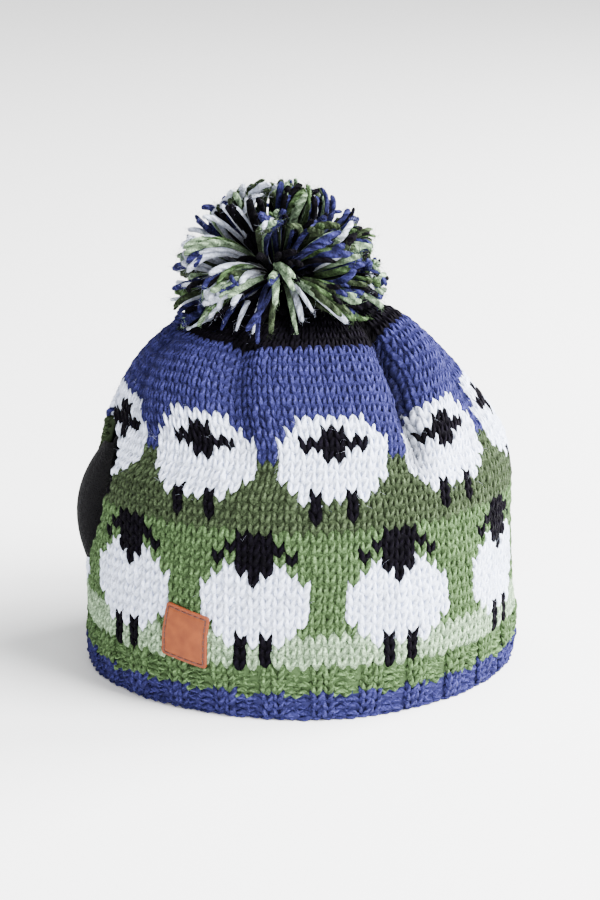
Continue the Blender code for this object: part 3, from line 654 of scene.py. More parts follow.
random = np.random.default_rng(41)
leg = yarn_template(LEG_LINE, LEG_SIDES, LEG_FLATNESS)
other_leg = yarn_template([(-u, *rest) for u, *rest in LEG_LINE], LEG_SIDES, LEG_FLATNESS)
head, sinker = yarn_template(HEAD_LINE, LEG_SIDES), yarn_template(SINKER_LINE, LEG_SIDES)
cast_on, edge_chain = yarn_template(CAST_ON_LINE, LEG_SIDES), yarn_template(EDGE_LINE, LEG_SIDES)
laid = {yarn: {"knit": [], "rib": [], "head": [], "sinker": []} for yarn in YARN_HEX}
for wale, row, gore, yarn in worked:
    rib_wale = wale % RIB_REPEAT
    if row >= RIB_ROWS:
        laid[yarn]["knit"].append((wale + 0.5, row, gore))
        # the last bumps of the rib stand under the first plain row
        if row == RIB_ROWS and rib_wale not in RIB_KNIT_WALES:
            laid[yarn_at(wale, row - 1)]["sinker"].append((wale + 0.5, row - 0.28, gore))
    elif rib_wale in RIB_KNIT_WALES:
        # the two plain wales of a rib draw together
        laid[yarn]["rib"].append((wale + (0.57 if rib_wale == RIB_KNIT_WALES[0] else 0.43), row, gore))
    else:
        laid[yarn]["head"].append((wale + 0.5, row, gore))
        laid[yarn]["sinker"].append((wale + (0.0 if rib_wale == 0 else 0.03), row, gore))


def in_crease(share, arc):
    """How far into a crease of the crown a stitch lies, from 0 to 1."""
    height = height_of(arc)
    inside = np.zeros_like(height)
    deepest = max(deep for foot, deep, low, wander in CREASES)
    for foot, deep, low, wander in CREASES:
        place = np.clip(foot + wander * np.maximum(height - low, 0.0), 0.0, ROUND)
        near = np.exp(-((share - place_share(place, arc, foot > HALF)) * WALES / CREASE_WALES) ** 2)
        inside = np.maximum(inside, near * deep / deepest * ramp(height, low - 0.004, 0.014))
    return inside


def lay(template, stitches, rise=0.0, jitter=1.0, at_share=None):
    """Copies of one length of yarn, laid on the cloth at their wales and rows."""
    points, faces, uv, painted_light = template
    stitches = np.array(stitches, float).reshape(-1, 3)
    count = len(stitches)
    wale, row = stitches[:, 0], stitches[:, 1]
    # the hand's uneven tension: slow drifts of wales and rows, and each stitch a little off
    drift = np.stack([0.06 * np.sin(0.8 * row + 0.35 * wale) + 0.05 * np.sin(0.31 * wale - 0.5 * row + 1.3),
                      0.07 * np.sin(0.45 * wale + 2.0) + 0.05 * np.sin(1.1 * wale + 0.4 * row),
                      0.00015 * np.sin(0.7 * wale + 0.9 * row)], -1)
    shift = drift + random.normal(0.0, 1.0, (count, 3)) * STRAY * jitter
    size = 1.0 + random.normal(0.0, SIZE_SPREAD, count) * jitter
    lean = random.normal(0.0, LEAN_SPREAD, count) * jitter
    middle = points.mean(axis=0)
    local = middle + (points[None] - middle) * size[:, None, None] + shift[:, None]
    across = local[..., 0] + lean[:, None] * (points[None, :, 1] - middle[1])
    arc = arc_of(row[:, None] + local[..., 1])
    if at_share is None:
        gore = np.repeat(stitches[:, 2, None].astype(int), points.shape[0], axis=1)
        share = wale_share(wale[:, None] + across, arc, gore)
    else:
        share = at_share(arc) + across * WALE_PITCH / girth_at(arc)
    placed = on_cloth(share, arc, local[..., 2] + rise)
    placed[..., 2] = np.maximum(placed[..., 2], FLOOR_GAP)
    # each stitch's own tone, times painted light and shade along its yarn and painted shade in the creases
    tone = np.clip(1.0 + random.normal(0.0, TONE_SPREAD, count), 0.8, 1.2)
    return placed, faces, uv, tone[:, None] * painted_light[None] * (1 - CREASE_PAINTED_SHADE * in_crease(share, arc))


YARN_NAMES = {"blue": "aran wool, denim blue", "green": "aran wool, meadow green",
              "pale": "aran wool, pale sage", "olive": "aran wool, olive",
              "white": "aran wool, undyed white", "black": "aran wool, black"}
FLECK = {"white": 0.18, "black": 0.6}
wools = {yarn: wool(YARN_NAMES[yarn], YARN_HEX[yarn], FLECK.get(yarn, 0.62),
                    0.0 if yarn == "black" else 0.22) for yarn in YARN_HEX}
# a chain runs up both edges of each slit, in the yarn of the row that it closes
chains = {(yarn, edge): [] for yarn in YARN_HEX for edge in SLIT_EDGES}
for edge in SLIT_EDGES:
    for row in range(ROWS):
        arc = float(arc_of(row + 0.5))
        if CHAIN_FLOOR < height_of(arc) < (SPOUT_HEAD if "spout" in edge else HANDLE_HEAD):
            near = float(slit_share(arc, edge)) * WALES
            chains[yarn_at(int(near) % WALES, row), edge].append((near, row, 0))
# kind of stitch, its yarn's form, how far it stands out and how uneven it is
KINDS = (("knit", leg, 0.0, 1.0), ("knit", other_leg, 0.0, 1.0), ("rib", leg, 0.0007, 1.5),
         ("rib", other_leg, 0.0007, 1.5), ("head", head, 0.0004, 1.8), ("sinker", sinker, 0.0004, 1.8))
for yarn in YARN_HEX:
    groups = [lay(template, laid[yarn][kind], rise, jitter) for kind, template, rise, jitter in KINDS]
    if yarn == "blue":
        # so low down the family of a wale makes no difference
        hem = [(wale + 0.5, CAST_ON_ROW, 0) for wale in range(WALES)]
        groups.append(lay(cast_on, hem, CAST_ON_RISE))
    for edge in SLIT_EDGES:
        groups.append(lay(edge_chain, chains[yarn, edge], 0.0, 0.8, lambda arc: slit_share(arc, edge)))
    piece = joined("stitches_" + yarn, groups, wools[yarn])
    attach(piece, "root")
    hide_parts("knit_body")

# ---- Lining: a sheet of black fleece inside the knit
# It is cut as a plain tube with a gathered top and slip-stitched in at the hem. It shows only in
# the slits, where its edge stands past the knit and, behind the spout, turns out as a flap.
LINING_DEPTH, LINING_THICKNESS, LINING_DROP = 0.0066, 0.0020, 0.0085
LINING_SHOWS, FLAP_REACH = 0.0014, 0.0125
LINING_HEIGHTS, LINING_COLUMNS = np.linspace(0.0070, 0.1640, 70), 60
LINING_OPEN_FLOOR, LINING_SPOUT_HEAD, LINING_HANDLE_HEAD = 0.0495, 0.1135, 0.1045
LINING_RIM = 0.140       # the open edge above this height is the gathered one
DROP_START, DROP_RISE = 0.104, 0.012
FLAP_FLOOR, FLAP_HEAD, FLAP_END = 0.0370, 0.1045, 0.1100
FLAP_BOW, FLAP_GIRTH = 0.0018, 0.58    # it bows towards the slit, where the body is this far round


def lining_edge(edge):
    """The lining's edge: past the knit where a slit is cut, and on the slit's middle elsewhere."""
    head = LINING_SPOUT_HEAD if "spout" in edge else LINING_HANDLE_HEAD
    middle = {"spout front": 0.0, "spout back": 1.0}.get(edge, 0.5)
    side = 1.0 if edge in ("spout front", "handle back") else -1.0

    def at(arc):
        height = height_of(arc)
        cut = slit_share(arc, edge) - side * LINING_SHOWS / girth_at(arc)
        return np.where((height > LINING_OPEN_FLOOR) & (height < head), cut, middle)
    return at


lining_arcs = np.interp(LINING_HEIGHTS, height_table, arc_table)
bm = cloth_grid(LINING_COLUMNS, lining_arcs,
                ((lining_edge("spout front"), lining_edge("handle front")),
                 (lining_edge("handle back"), lining_edge("spout back"))),
                lambda a: -LINING_DEPTH - LINING_DROP * ramp(height_of(a), DROP_START, DROP_RISE))
top = [e for e in bm.edges if e.is_boundary and min(v.co.z for v in e.verts) > LINING_RIM]
bmesh.ops.contextual_create(bm, geom=top)
# the flap is a strip of its own, joined to the back edge of the spout slit
flap_arcs = lining_arcs[(LINING_HEIGHTS > LINING_OPEN_FLOOR) & (LINING_HEIGHTS < FLAP_HEAD)]
made = bmesh.ops.create_grid(bm, x_segments=6, y_segments=len(flap_arcs) - 1, size=0.5)["verts"]
for vert in made:
    across = vert.co.x + 0.5
    arc = float(flap_arcs[round((vert.co.y + 0.5) * (len(flap_arcs) - 1))])
    swell = math.sin(math.pi * (float(height_of(arc)) - FLAP_FLOOR) / (FLAP_END - FLAP_FLOOR))
    turned = FLAP_BOW * math.sin(math.pi * across) / FLAP_GIRTH
    out = -LINING_DEPTH + FLAP_REACH * swell * across
    vert.co = on_cloth(float(lining_edge("spout back")(arc)) + turned, arc, out)
bmesh.ops.remove_doubles(bm, verts=bm.verts, dist=SEAM_GAP)
bmesh.ops.recalc_face_normals(bm, faces=bm.faces)

# Brushed polyester fleece: black, matt, with a pile of fine curls 0.5 mm across.
fleece, tree = new_material("brushed polyester fleece, black")
coords = node(tree, "ShaderNodeTexCoord")
pile = node(tree, "ShaderNodeTexNoise", values={"Scale": 800.0, "Detail": 5.0, "Roughness": 0.75},
            links={"Vector": coords.outputs["Object"]})
tint = node(tree, "ShaderNodeMapRange", values={"To Min": 0.5, "To Max": 1.6},
            links={"Value": pile.outputs["Fac"]})
dyed = node(tree, "ShaderNodeVectorMath", {"operation": "SCALE"}, values={0: linear("0B0A0E")[:3]},
            links={"Scale": tint.outputs["Result"]})
bump = node(tree, "ShaderNodeBump", values={"Strength": 1.0, "Distance": 0.0015},
            links={"Height": pile.outputs["Fac"]})
finish_material(tree, {"Base Color": dyed.outputs["Vector"], "Normal": bump.outputs["Normal"]},
                {"Roughness": 0.95, "Specular IOR Level": 0.15, "Sheen Weight": 0.1})
lining = show(mesh_of("lining_fleece", bm), fleece)
thicken(lining, LINING_THICKNESS, 0.0)
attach(lining, "root")
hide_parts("lining")

# ---- Label: a patch of vegetable-tanned leather sewn near the spout
# It is die-cut with rounded corners, dyed at its edges and sewn on a line set in all round.
# Its face is left bare.
LABEL_WIDTH, LABEL_DEPTH, LABEL_THICKNESS = 0.0214, 0.0236, 0.0014
LABEL_GAP, LABEL_PLACE, LABEL_HEIGHT, LABEL_TURN = 0.0007, 13.17, 0.0358, math.radians(2.0)
LABEL_CORNER = 0.0012
LABEL_PULL = 0.165       # the stretched knit pulls it a little out of square
LABEL_SEAM = 0.0013      # the sewing line's distance from the edge
DIP_DEPTH, DIP_HALF = 0.00025, 0.0007     # its face dips a little along that line
RIM_START, RIM_WIDTH = 0.0006, 0.0014     # where the edge dye has soaked in
LABEL_BEVEL = 0.0003


def on_label(across, up, out):
    """A point of the label, as metres from its middle along and up, laid on the cloth."""
    along = across * math.cos(LABEL_TURN) + up * math.sin(LABEL_TURN)
    rise = -across * (math.sin(LABEL_TURN) + LABEL_PULL) + up * math.cos(LABEL_TURN)
    arc = float(np.interp(LABEL_HEIGHT + rise, height_table, arc_table))
    middle = float(place_share(LABEL_PLACE, arc, False))
    return Vector(on_cloth(middle + along / float(girth_at(arc)), arc, out))


def rounded(x, y):
    """A point of a square from -1 to 1 drawn onto the label's outline, its corners rounded."""
    half_w, half_d = LABEL_WIDTH / 2, LABEL_DEPTH / 2
    px, py = x * half_w, y * half_d
    cx, cy = half_w - LABEL_CORNER, half_d - LABEL_CORNER
    dx, dy = max(abs(px) - cx, 0.0), max(abs(py) - cy, 0.0)
    reach = math.hypot(dx, dy)
    if dx > 0 and dy > 0:
        scale = max(dx, dy) / reach
        px, py = math.copysign(cx + dx * scale, px), math.copysign(cy + dy * scale, py)
    return px, py


bm = bmesh.new()
made = bmesh.ops.create_grid(bm, x_segments=28, y_segments=34, size=1.0)["verts"]
rims = {}
for vert in made:
    x, y = rounded(vert.co.x, vert.co.y)
    inset = min(LABEL_WIDTH / 2 - abs(x), LABEL_DEPTH / 2 - abs(y))
    rims[vert.index] = float(1 - ramp(inset, RIM_START, RIM_WIDTH))
    dip = DIP_DEPTH * math.exp(-((inset - LABEL_SEAM) / DIP_HALF) ** 2)
    vert.co = on_label(x, y, LABEL_GAP + LABEL_THICKNESS - dip)
bmesh.ops.recalc_face_normals(bm, faces=bm.faces)
outward = on_label(0, 0, 0.01) - on_label(0, 0, 0.0)
if sum(face.normal.dot(outward) for face in bm.faces) < 0:
    bmesh.ops.reverse_faces(bm, faces=bm.faces)
mesh = mesh_of("leather_label", bm)
rim_share = mesh.attributes.new("rim", "FLOAT", "POINT")
rim_share.data.foreach_set("value", [rims[i] for i in range(len(mesh.vertices))])

# Vegetable-tanned leather: tan, close-grained, with a soft gloss where it is pressed.
leather, tree = new_material("vegetable-tanned leather, tan")
coords = node(tree, "ShaderNodeTexCoord")
grain = node(tree, "ShaderNodeTexVoronoi", {"feature": "DISTANCE_TO_EDGE"},
             {"Vector": coords.outputs["Object"]}, {"Scale": 1400.0})
cloud = node(tree, "ShaderNodeTexNoise", values={"Scale": 220.0, "Detail": 4.0},
             links={"Vector": coords.outputs["Object"]})
tone = node(tree, "ShaderNodeValToRGB", links={"Fac": cloud.outputs["Fac"]})
for stop, position, hex_colour in zip(tone.color_ramp.elements, (0.3, 0.7), ("652C0C", "7B3A12")):
    stop.position, stop.color = position, linear(hex_colour)
# the rim is darker and redder, where the edge dye has soaked in
rim = node(tree, "ShaderNodeAttribute", {"attribute_name": "rim"})
soaked = node(tree, "ShaderNodeMath", {"operation": "MULTIPLY"}, values={1: 0.4},
              links={0: rim.outputs["Fac"]})
dye = node(tree, "ShaderNodeMix", {"data_type": "RGBA"}, values={7: linear("6E3322")},
           links={0: soaked.outputs[0], 6: tone.outputs["Color"]})
bump = node(tree, "ShaderNodeBump", values={"Strength": 0.25, "Distance": 0.0002},
            links={"Height": grain.outputs["Distance"]})
finish_material(tree, {"Base Color": dye.outputs[2], "Normal": bump.outputs["Normal"]},
                {"Roughness": 0.55, "Specular IOR Level": 0.25})
label = show(mesh, leather)
thicken(label, LABEL_THICKNESS, -1.0)
edge = label.modifiers.new("edge", "BEVEL")
edge.width, edge.segments, edge.limit_method = LABEL_BEVEL, 2, "ANGLE"
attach(label, "root")
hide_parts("label")

# Its sewing: waxed dark brown thread in stitches 2.8 to 2.9 mm long, about 3.2 to the centimetre,
# whose ends sink into the leather.
STITCH_LENGTH, STITCH_SHARE = 0.0029, 0.93
THREAD_RADIUS, THREAD_SIDES, THREAD_PRESSED, THREAD_SINK = 0.00028, 6, 0.00008, 0.00034
THREAD_RINGS = (-0.5, -0.3, 0.0, 0.3, 0.5)
thread = yarn_template([(step, 0.0, 0.0, 0.2, 1.0) for step in (-0.5, -0.25, 0.0, 0.25, 0.5)], THREAD_SIDES)
half_w, half_d = LABEL_WIDTH / 2 - LABEL_SEAM, LABEL_DEPTH / 2 - LABEL_SEAM
ring_angles = [math.tau * k / THREAD_SIDES for k in range(THREAD_SIDES)]
dashes = []
# each side: whether it runs across, where it lies, its length and its number of stitches
for across, fixed, side_length, count in (
        (True, half_d, 2 * half_w, 6), (True, -half_d, 2 * half_w, 6),
        (False, half_w, 2 * half_d, 7), (False, -half_w, 2 * half_d, 7)):
    for i in range(count):
        middle = (i + 0.5) / count * side_length - side_length / 2
        rings = []
        for step in THREAD_RINGS:
            at = middle + step * min(STITCH_LENGTH, side_length / count * STITCH_SHARE)
            sink = THREAD_PRESSED + THREAD_SINK * (abs(step) / 0.5) ** 3
            place = (at, fixed) if across else (fixed, at)
            rings.append(on_label(*place, LABEL_GAP + LABEL_THICKNESS - sink))
        heading = (rings[-1] - rings[0]).normalized()
        place = (middle, fixed) if across else (fixed, middle)
        out = (on_label(*place, 0.01) - on_label(*place, 0.0)).normalized()
        side = out.cross(heading).normalized()
        dashes.append([ring + THREAD_RADIUS * (side * math.cos(angle) + out * math.sin(angle))
                       for ring in rings for angle in ring_angles])
thread_mat, tree = new_material("waxed thread, dark brown")
coords = node(tree, "ShaderNodeTexCoord")
wear = node(tree, "ShaderNodeTexNoise", values={"Scale": 1500.0, "Detail": 2.0},
            links={"Vector": coords.outputs["Object"]})
tint = node(tree, "ShaderNodeMapRange", values={"To Min": 0.6, "To Max": 1.4},
            links={"Value": wear.outputs["Fac"]})
dyed = node(tree, "ShaderNodeVectorMath", {"operation": "SCALE"}, values={0: linear("32110C")[:3]},
            links={"Scale": tint.outputs["Result"]})
finish_material(tree, {"Base Color": dyed.outputs["Vector"]}, {"Roughness": 0.5})
sewing = joined("label_sewing", [(np.array(dashes), *thread[1:3], np.ones(len(dashes)))], thread_mat)
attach(sewing, "root")
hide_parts("label")

# ---- Pompom: lengths of the knit's own yarns, bound at their middles and cut to a ball
# They bunch and part, so that many are seen from the side and the gaps between them are dark.
# The lowest ones lie on the crown, and a few long ones hang down over it.
POMPOM_CENTRE = np.array((-0.0095, -0.0020, 0.1768))
POMPOM_REACH = np.array((0.0470, 0.0465, 0.0448))
STRANDS, CLUMPS, STRAND_SIDES = 1120, 90, 6
STRAND_SHAKE, CLUMP_SHAKE, BUNCHING = 0.05, 0.12, 0.40
STRAND_RINGS = np.array((0.0, 0.20, 0.37, 0.52, 0.65, 0.76, 0.86, 0.94, 0.98, 1.0))
STRAND_RADII = np.array((0.8, 1.0, 1.2, 1.3, 1.4, 1.42, 1.38, 1.18, 0.88, 0.45)) * 0.001
# painted shade along a strand: nearly black at its root, where little light comes
STRAND_PAINTED_LIGHT = (0.06, 0.08, 0.13, 0.25, 0.42, 0.62, 0.80, 0.90, 0.92, 0.92)
THICK_SPREAD, THICK_LIMIT, RING_SPREAD = 0.22, 0.4, 0.03
# lines along which the ball parts, turn from the front and rise in degrees, and how far
PARTINGS = ((((-52, 52), (-36, 35), (-26, 28), (-9, 25), (6, 24), (22, 20)), 1.0),
            (((-75, 62), (-20, 74), (40, 58), (70, 30)), 0.3), (((118, 8), (150, 34), (-170, 52)), 0.6),
            (((-128, 46), (-96, 20), (-92, -8)), 0.6), (((165, -8), (-160, 6)), 0.5))
PARTING_HALF, PARTING_LEAN, PARTING_FADE = math.radians(7.5), math.radians(4), math.radians(20)
# roots are swept towards the parting by these angles, most at one distance from it
SWEEP, SWEEP_AT, SWEEP_FADE, ROOT_LEAST = (0.25, 0.75), 0.60, 0.60, 0.15
LENGTH_SPREAD, LENGTH_LIMITS, STUMPS = 0.045, (-0.12, 0.06), (0.56, 0.70)
# bends of a clump, of each strand in it and of those that lie across, as shares of the reach
CLUMP_BEND, OWN_BEND, CROSS_BEND, CROSSING = (0.05, 0.34), 0.12, 0.36, 0.14
FRONT_SPREAD, FRONT_FADE = 0.32, 0.40
ROOT_GAP, ROOT_CURVE, TURN_CURVE, DROOP = 0.86, 1.6, 1.1, 0.05
STRAND_CLEAR, HANGING_CLEAR, LOWEST_TIP = 0.0026, 0.0030, 0.1575    # above the crown's face
random = np.random.default_rng(23)


def unit(vectors):
    return vectors / np.linalg.norm(vectors, axis=-1, keepdims=True)


def sphere_points(count, shake):
    """Directions spread evenly round a ball, each shaken a little."""
    k = np.arange(count) + 0.5
    z = 1 - 2 * k / count
    turn = math.pi * (1 + 5**0.5) * k
    flat = np.sqrt(1 - z * z)
    even = np.stack([flat * np.cos(turn), flat * np.sin(turn), z], -1)
    return unit(even + random.normal(0, shake, (count, 3)))


crown_reach = np.linspace(0.0, FORM[:, 1].max(), 200)
crown_height = np.interp(crown_reach, mean_reach[::-1], heights[::-1])


def seat(points, above=STRAND_CLEAR):
    """Lifts points to just above the crown."""
    reach = np.hypot(points[..., 0] - CENTRE_X, points[..., 1])
    floor = np.interp(reach, crown_reach, crown_height) + above
    lifted = points.copy()
    lifted[..., 2] = np.maximum(points[..., 2], floor)
    return lifted


def ways_along(line):
    """Directions from the middle of the ball to points along a line."""
    turn, rise = np.radians(np.array(line, float)).T
    corners = np.stack([np.sin(turn) * np.cos(rise), -np.cos(turn) * np.cos(rise), np.sin(rise)], -1)
    at = np.linspace(0, len(line) - 1, 8 * len(line) - 7)
    return unit(np.stack([np.interp(at, np.arange(len(line)), corners[:, i]) for i in range(3)], -1))


clumps = sphere_points(CLUMPS, CLUMP_SHAKE)
ways = sphere_points(STRANDS, STRAND_SHAKE)
clump = np.argmax(ways @ clumps.T, axis=1)
ways = unit(ways * (1 - BUNCHING) + clumps[clump] * BUNCHING)
# each parting as directions, with its strength at each, less towards its ends
lines = [ways_along(line) for line, strength in PARTINGS]
partings = np.concatenate(lines)
strengths = np.concatenate([np.full(len(line), strength) for line, (_, strength) in zip(lines, PARTINGS)])
midway = np.concatenate([np.sin(np.linspace(0.2, math.pi - 0.2, len(line))) for line in lines])
nearest = np.argmax(ways @ partings.T, axis=1)
parting, pull = partings[nearest], strengths[nearest]
angle = np.arccos(np.clip((ways * parting).sum(1), -1, 1))
away = unit(ways - (ways * parting).sum(1)[:, None] * parting)
# a strand's root lies nearer to the parting than its tip, so its side shows
sweep = pull * random.uniform(*SWEEP, CLUMPS)[clump] * midway[nearest] ** 0.7
root_angle = np.maximum(angle - sweep * np.exp(-((angle - SWEEP_AT) / SWEEP_FADE) ** 2), ROOT_LEAST * angle)
# only short black ends stand in the bottom of a parting and under the front
short = angle < PARTING_HALF * pull + random.normal(0, 0.012, STRANDS)
lean = pull * PARTING_LEAN * np.exp(-((angle - PARTING_HALF) / PARTING_FADE) ** 2)
angle = angle + np.where(short, 0, lean)
length = 1.0 + np.clip(random.normal(0, LENGTH_SPREAD, STRANDS), *LENGTH_LIMITS)
short |= (ways[:, 2] < 0.02) & (ways[:, 1] < -0.15) & (random.random(STRANDS) < 0.50)
length[short] = random.uniform(*STUMPS, short.sum())
# the strands of a clump bend together, and one in seven lies across its neighbours
bend = unit(random.normal(0, 1, (CLUMPS, 3)))[clump] * random.uniform(*CLUMP_BEND, CLUMPS)[clump][:, None]
own_way = unit(random.normal(0, 1, (STRANDS, 3)))
bend += own_way * np.where(random.random(STRANDS) < CROSSING, CROSS_BEND, OWN_BEND)[:, None]
# those at the front spread out to the left and right
bend[:, 0] += FRONT_SPREAD * np.tanh(4 * ways[:, 0]) * np.exp(-((ways[:, 1] + 1) / FRONT_FADE) ** 2)
paths = []
for t in STRAND_RINGS:
    turned = root_angle + (angle - root_angle) * t**TURN_CURVE
    way = parting * np.cos(turned)[:, None] + away * np.sin(turned)[:, None]
    way = unit(way + bend * t * t)
    out = 1 - ROOT_GAP * (1 - t) ** ROOT_CURVE
    droop = np.array((0, 0, -DROOP)) * t * t * (1 - np.abs(ways[:, 2:]))
    paths.append(POMPOM_CENTRE + POMPOM_REACH * (way * (out * length)[:, None] + droop))
paths = np.stack(paths, 1)
# at the front the lowest strands are few, so the black crown shows there
keep = (paths[:, -1, 2] > LOWEST_TIP) & ((ways[:, 2] > -0.20) | (ways[:, 1] > -0.30) | short)
paths, ways, short = seat(paths[keep]), ways[keep], short[keep]
# the long strands that hang over the front of the crown: yarn and where each ends
HANGING = (("blue", (-0.0390, -0.0270, 0.1615)), ("white", (-0.0266, -0.0385, 0.1600)),
           ("white", (-0.0041, -0.0375, 0.1640)), ("pale", (-0.0077, -0.0455, 0.1590)),
           ("pale", (0.0115, -0.0330, 0.1650)), ("olive", (0.0180, -0.0220, 0.1680)),
           ("white", (-0.0330, -0.0325, 0.1620)), ("green", (-0.0470, -0.0120, 0.1625)),
           ("blue", (-0.0310, -0.0290, 0.1660)), ("olive", (0.0060, -0.0290, 0.1690)),
           ("pale", (-0.0480, -0.0190, 0.1620)))
# from the middle: how far out and up a hanging strand starts, and where it bends over
HANGING_START, HANGING_KNEE = (0.010, 0.004), (0.030, 0.0005)
steps = np.linspace(0.0, 1.0, len(STRAND_RINGS))[:, None]
hanging = []
for yarn, tip in HANGING:
    flat = unit((tip - POMPOM_CENTRE) * (1, 1, 0))
    start, knee = (POMPOM_CENTRE + flat * out + (0, 0, up) for out, up in (HANGING_START, HANGING_KNEE))
    hanging.append((1 - steps) ** 2 * start + 2 * steps * (1 - steps) * knee + steps**2 * np.array(tip))
hanging = seat(np.array(hanging), HANGING_CLEAR)


def straight_length(rings, sides):
    """A straight length of yarn, for the way its points join into faces."""
    return yarn_template([(0.0, float(i), 0.0, 0.2, 1.0) for i in range(rings)], sides)


def strand_tubes(paths, radii, sides):
    """Round yarns along their paths, as points in the order of a straight length."""
    heading = unit(np.gradient(paths, axis=1))
    side = unit(np.cross(heading, np.array((0.31, 0.17, 0.93))))
    up = np.cross(side, heading)
    angles = math.tau * np.arange(sides)[:, None] / sides
    rings = (paths[:, :, None] + radii[..., None, None]
             * (side[:, :, None] * np.cos(angles) + up[:, :, None] * np.sin(angles)))
    return rings.reshape(len(paths), -1, 3)


# shares of the yarns, which change towards the left: white and pale gather there
MIX = ("white", "pale", "olive", "green", "blue", "black")
left = ramp(-ways[:, 0], -0.2, 0.9)
high_left = left * ramp(ways[:, 2], -0.25, 0.55)
weights = np.stack([0.06 + 0.32 * high_left, 0.10 + 0.08 * left, 0.20 - 0.08 * left, 0.15 - 0.06 * left,
                    0.25 - 0.07 * left, 0.24 - 0.10 * left], -1)
# yarns of one colour tend to lie together, as they were wound
cluster = 0.25 * (np.sin(5 * ways[:, 0] + 2) + np.sin(6 * ways[:, 2] + 4 * ways[:, 1]))
weights[:, MIX.index("olive")] *= 1 + cluster
weights[:, MIX.index("blue")] *= 1 - cluster
weights /= weights.sum(1, keepdims=True)
pick = (random.random(len(ways))[:, None] > np.cumsum(weights, 1)).sum(1).clip(0, len(MIX) - 1)
# and often a whole bunch is of one yarn
bunch = clump[keep]
first = np.array([np.argmax(bunch == i) for i in range(CLUMPS)])
pick = np.where(random.random(len(ways)) < 0.16, pick[first][bunch], pick)
pick[short] = MIX.index("black")
# a cut length of yarn lies untwisted, so its plies hardly show
CUT_TWIST, CUT_HAIR, CUT_FLECK = 9.0, 1.6, {"white": 0.34}
strand, painted_light = straight_length(len(STRAND_RINGS), STRAND_SIDES), np.repeat(STRAND_PAINTED_LIGHT, STRAND_SIDES)
strands = {yarn: np.concatenate([paths[pick == index], hanging[[name == yarn for name, tip in HANGING]]])
           for index, yarn in enumerate(MIX)}
for yarn in MIX:
    chosen = strands[yarn]
    thick = 1 + random.normal(0, THICK_SPREAD, len(chosen)).clip(-THICK_LIMIT, THICK_LIMIT)
    radii = STRAND_RADII * thick[:, None]
    radii = radii * (1 + random.normal(0, RING_SPREAD, radii.shape))
    tone = (1 + random.normal(0, TONE_SPREAD, len(chosen)))[:, None] * painted_light
    cut_wool = wool(YARN_NAMES[yarn] + ", cut lengths", YARN_HEX[yarn], CUT_FLECK.get(yarn, 0.85),
                    0.0 if yarn == "black" else 0.25, CUT_TWIST, CUT_HAIR)
    tubes = strand_tubes(chosen, radii, STRAND_SIDES)
    piece = joined("pompom_" + yarn, [(tubes, *strand[1:3], tone)], cut_wool)
    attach(piece, "root")
    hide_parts("pompom")

# ---- Fuzz: loose fibres that stand out of the yarn
# Aran wool is lightly spun, so fine hairs lie over the stitches and stand out at the outline and
# at the cut ends of the pompom. They are drawn 0.07 mm thick, coarser than real ones, to show.
FUZZ_COUNT, TUFTS, FUZZ_SIDES, FUZZ_RADIUS = 6400, 1600, 3, 0.000036
FUZZ_TAPER, FUZZ_STEPS = np.array((1.0, 1.0, 0.5)), (0.0, 0.5, 1.0)
FUZZ_FLOOR, FUZZ_REACH = 0.001, 0.185     # arcs on which they grow
HAIR_LENGTH, HAIR_CURL, HAIR_ROOT = (0.002, 0.0065), 1.3, -0.0006
TUFT_LENGTH, TUFT_SHAKE = (0.0012, 0.0036), 0.0008
RUBBED_OFF = 0.012       # the share that lies on yarn of another colour
random = np.random.default_rng(5)
hair = straight_length(len(FUZZ_STEPS), FUZZ_SIDES)
share = random.random(FUZZ_COUNT)
arc = random.random(FUZZ_COUNT) * FUZZ_REACH + FUZZ_FLOOR
clear = ((share > slit_share(arc, "spout front")) & (share < slit_share(arc, "spout back"))
         & ((share < slit_share(arc, "handle front")) | (share > slit_share(arc, "handle back"))))
share, arc = share[clear], arc[clear]
turn, reach = random.random(len(share)) * math.tau, random.uniform(*HAIR_LENGTH, len(share))
curl = random.normal(0.0, HAIR_CURL, len(share))
lift = random.gamma(2.0, 0.0005, len(share)).clip(0.0003, 0.0030)
hairs = []
for t in FUZZ_STEPS:
    way = turn + curl * t
    across, up = np.cos(way) * reach * t, np.sin(way) * reach * t * 0.8
    out = lift * math.sin(math.pi * 0.62 * t) + HAIR_ROOT
    hairs.append(on_cloth(share + across / girth_at(arc), arc + up, out))
hairs = np.stack(hairs, 1)
hairs[..., 2] = np.maximum(hairs[..., 2], 0.0003)
yarn_names = np.array([yarn_at(int(w * WALES) % WALES, int(r)) for w, r in zip(share, row_of(arc))])
stray = random.random(len(share)) < RUBBED_OFF
yarn_names[stray] = random.permutation(yarn_names[stray])
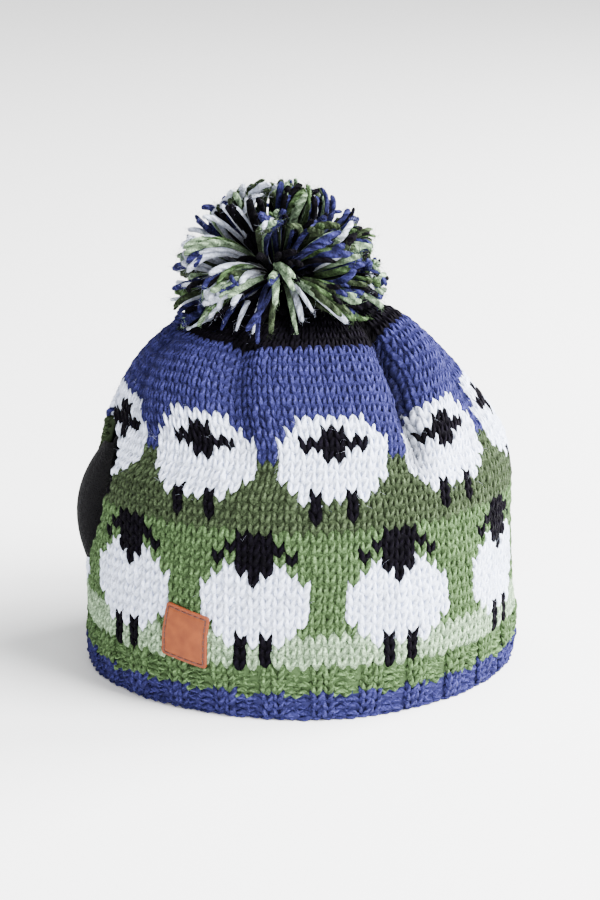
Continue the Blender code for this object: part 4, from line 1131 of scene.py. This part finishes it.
for yarn in YARN_HEX:
    # tufts of the pompom's yarn: half along a strand, half near its cut end
    ends = strands[yarn][random.integers(0, len(strands[yarn]), TUFTS)]
    at = np.where(random.random(TUFTS) < 0.5, random.uniform(3.0, 9.0, TUFTS),
                  random.uniform(7.0, 9.0, TUFTS)) - 1e-6
    below, part, spots = at.astype(int), (at % 1)[:, None], np.arange(TUFTS)
    roots = ends[spots, below] * (1 - part) + ends[spots, below + 1] * part
    roots += random.normal(0, TUFT_SHAKE, (TUFTS, 3))
    spread = unit(random.normal(0, 1, (TUFTS, 3)) + 1.4 * unit(ends[:, -1] - ends[:, -3]))
    grow = random.uniform(*TUFT_LENGTH, (TUFTS, 1))
    droop = unit(random.normal(0, 1, (TUFTS, 3)))
    tufts = seat(np.stack([roots + grow * (spread * t + droop * 0.4 * t * t) for t in FUZZ_STEPS], 1))
    fibres = np.concatenate([hairs[yarn_names == yarn], tufts])
    radii = np.tile(FUZZ_TAPER * FUZZ_RADIUS, (len(fibres), 1))
    tone = np.full(len(fibres), 0.8 if yarn == "white" else 1.15)
    tubes = strand_tubes(fibres, radii, FUZZ_SIDES)
    piece = joined("fuzz_" + yarn, [(tubes, *hair[1:3], tone)], wools[yarn])
    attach(piece, "root")

# ---- Studio
# A plain pale table top, a large soft light from the upper right, a second one from the side
# and a weak fill from the front, in a white room.
TABLE_HALF = 9.0
bm = bmesh.new()
bmesh.ops.create_grid(bm, x_segments=1, y_segments=1, size=TABLE_HALF)
laminate, tree = new_material("matt white laminate")
finish_material(tree, {}, {"Base Color": linear("FCFCFC"), "Roughness": 0.6})
table_top = show(mesh_of("table_top", bm), laminate)

world = bpy.data.worlds.new("studio")
bpy.context.scene.world = world
world.use_nodes = True
world.node_tree.nodes["Background"].inputs["Color"].default_value = (1.0, 1.0, 1.0, 1.0)
world.node_tree.nodes["Background"].inputs["Strength"].default_value = 1.03
LIGHT_AIM = Vector((0.0, 0.0, 0.1))
for name, place, size, power in (("key_light", (1.5, -1.0, 1.8), 1.5, 345.0),
                                 ("side_light", (1.9, 0.5, 1.2), 1.2, 210.0),
                                 ("fill_light", (-0.1, -1.8, 0.5), 1.4, 25.0)):
    lamp = bpy.data.lights.new(name, "AREA")
    lamp.shape, lamp.size, lamp.energy = "SQUARE", size, power
    holder = bpy.data.objects.new(name, lamp)
    holder.location = place
    holder.rotation_euler = (LIGHT_AIM - Vector(place)).to_track_quat("-Z", "Y").to_euler()
    bpy.context.scene.collection.objects.link(holder)

CAMERA_RISE, CAMERA_TURN, CAMERA_AWAY = math.radians(15.5), math.radians(-9.0), 1.2
CAMERA_AIM, CAMERA_LENS = Vector((0.002, 0.0, 0.105)), 104.35
PICTURE_HEIGHT, SHIFT_RIGHT, SHIFT_UP = 900.0, -3.0, -15.7    # in points of the picture
view = Vector((-math.sin(CAMERA_TURN) * math.cos(CAMERA_RISE), math.cos(CAMERA_TURN) * math.cos(CAMERA_RISE),
               -math.sin(CAMERA_RISE)))
lens = bpy.data.cameras.new("camera")
lens.sensor_fit, lens.sensor_height, lens.sensor_width = "VERTICAL", 36.0, 36.0
lens.lens = CAMERA_LENS
lens.shift_x, lens.shift_y = SHIFT_RIGHT / PICTURE_HEIGHT, SHIFT_UP / PICTURE_HEIGHT
camera = bpy.data.objects.new("camera", lens)
camera.location = CAMERA_AIM - view * CAMERA_AWAY
camera.rotation_euler = view.to_track_quat("-Z", "Y").to_euler()
bpy.context.scene.collection.objects.link(camera)
bpy.context.scene.camera = camera
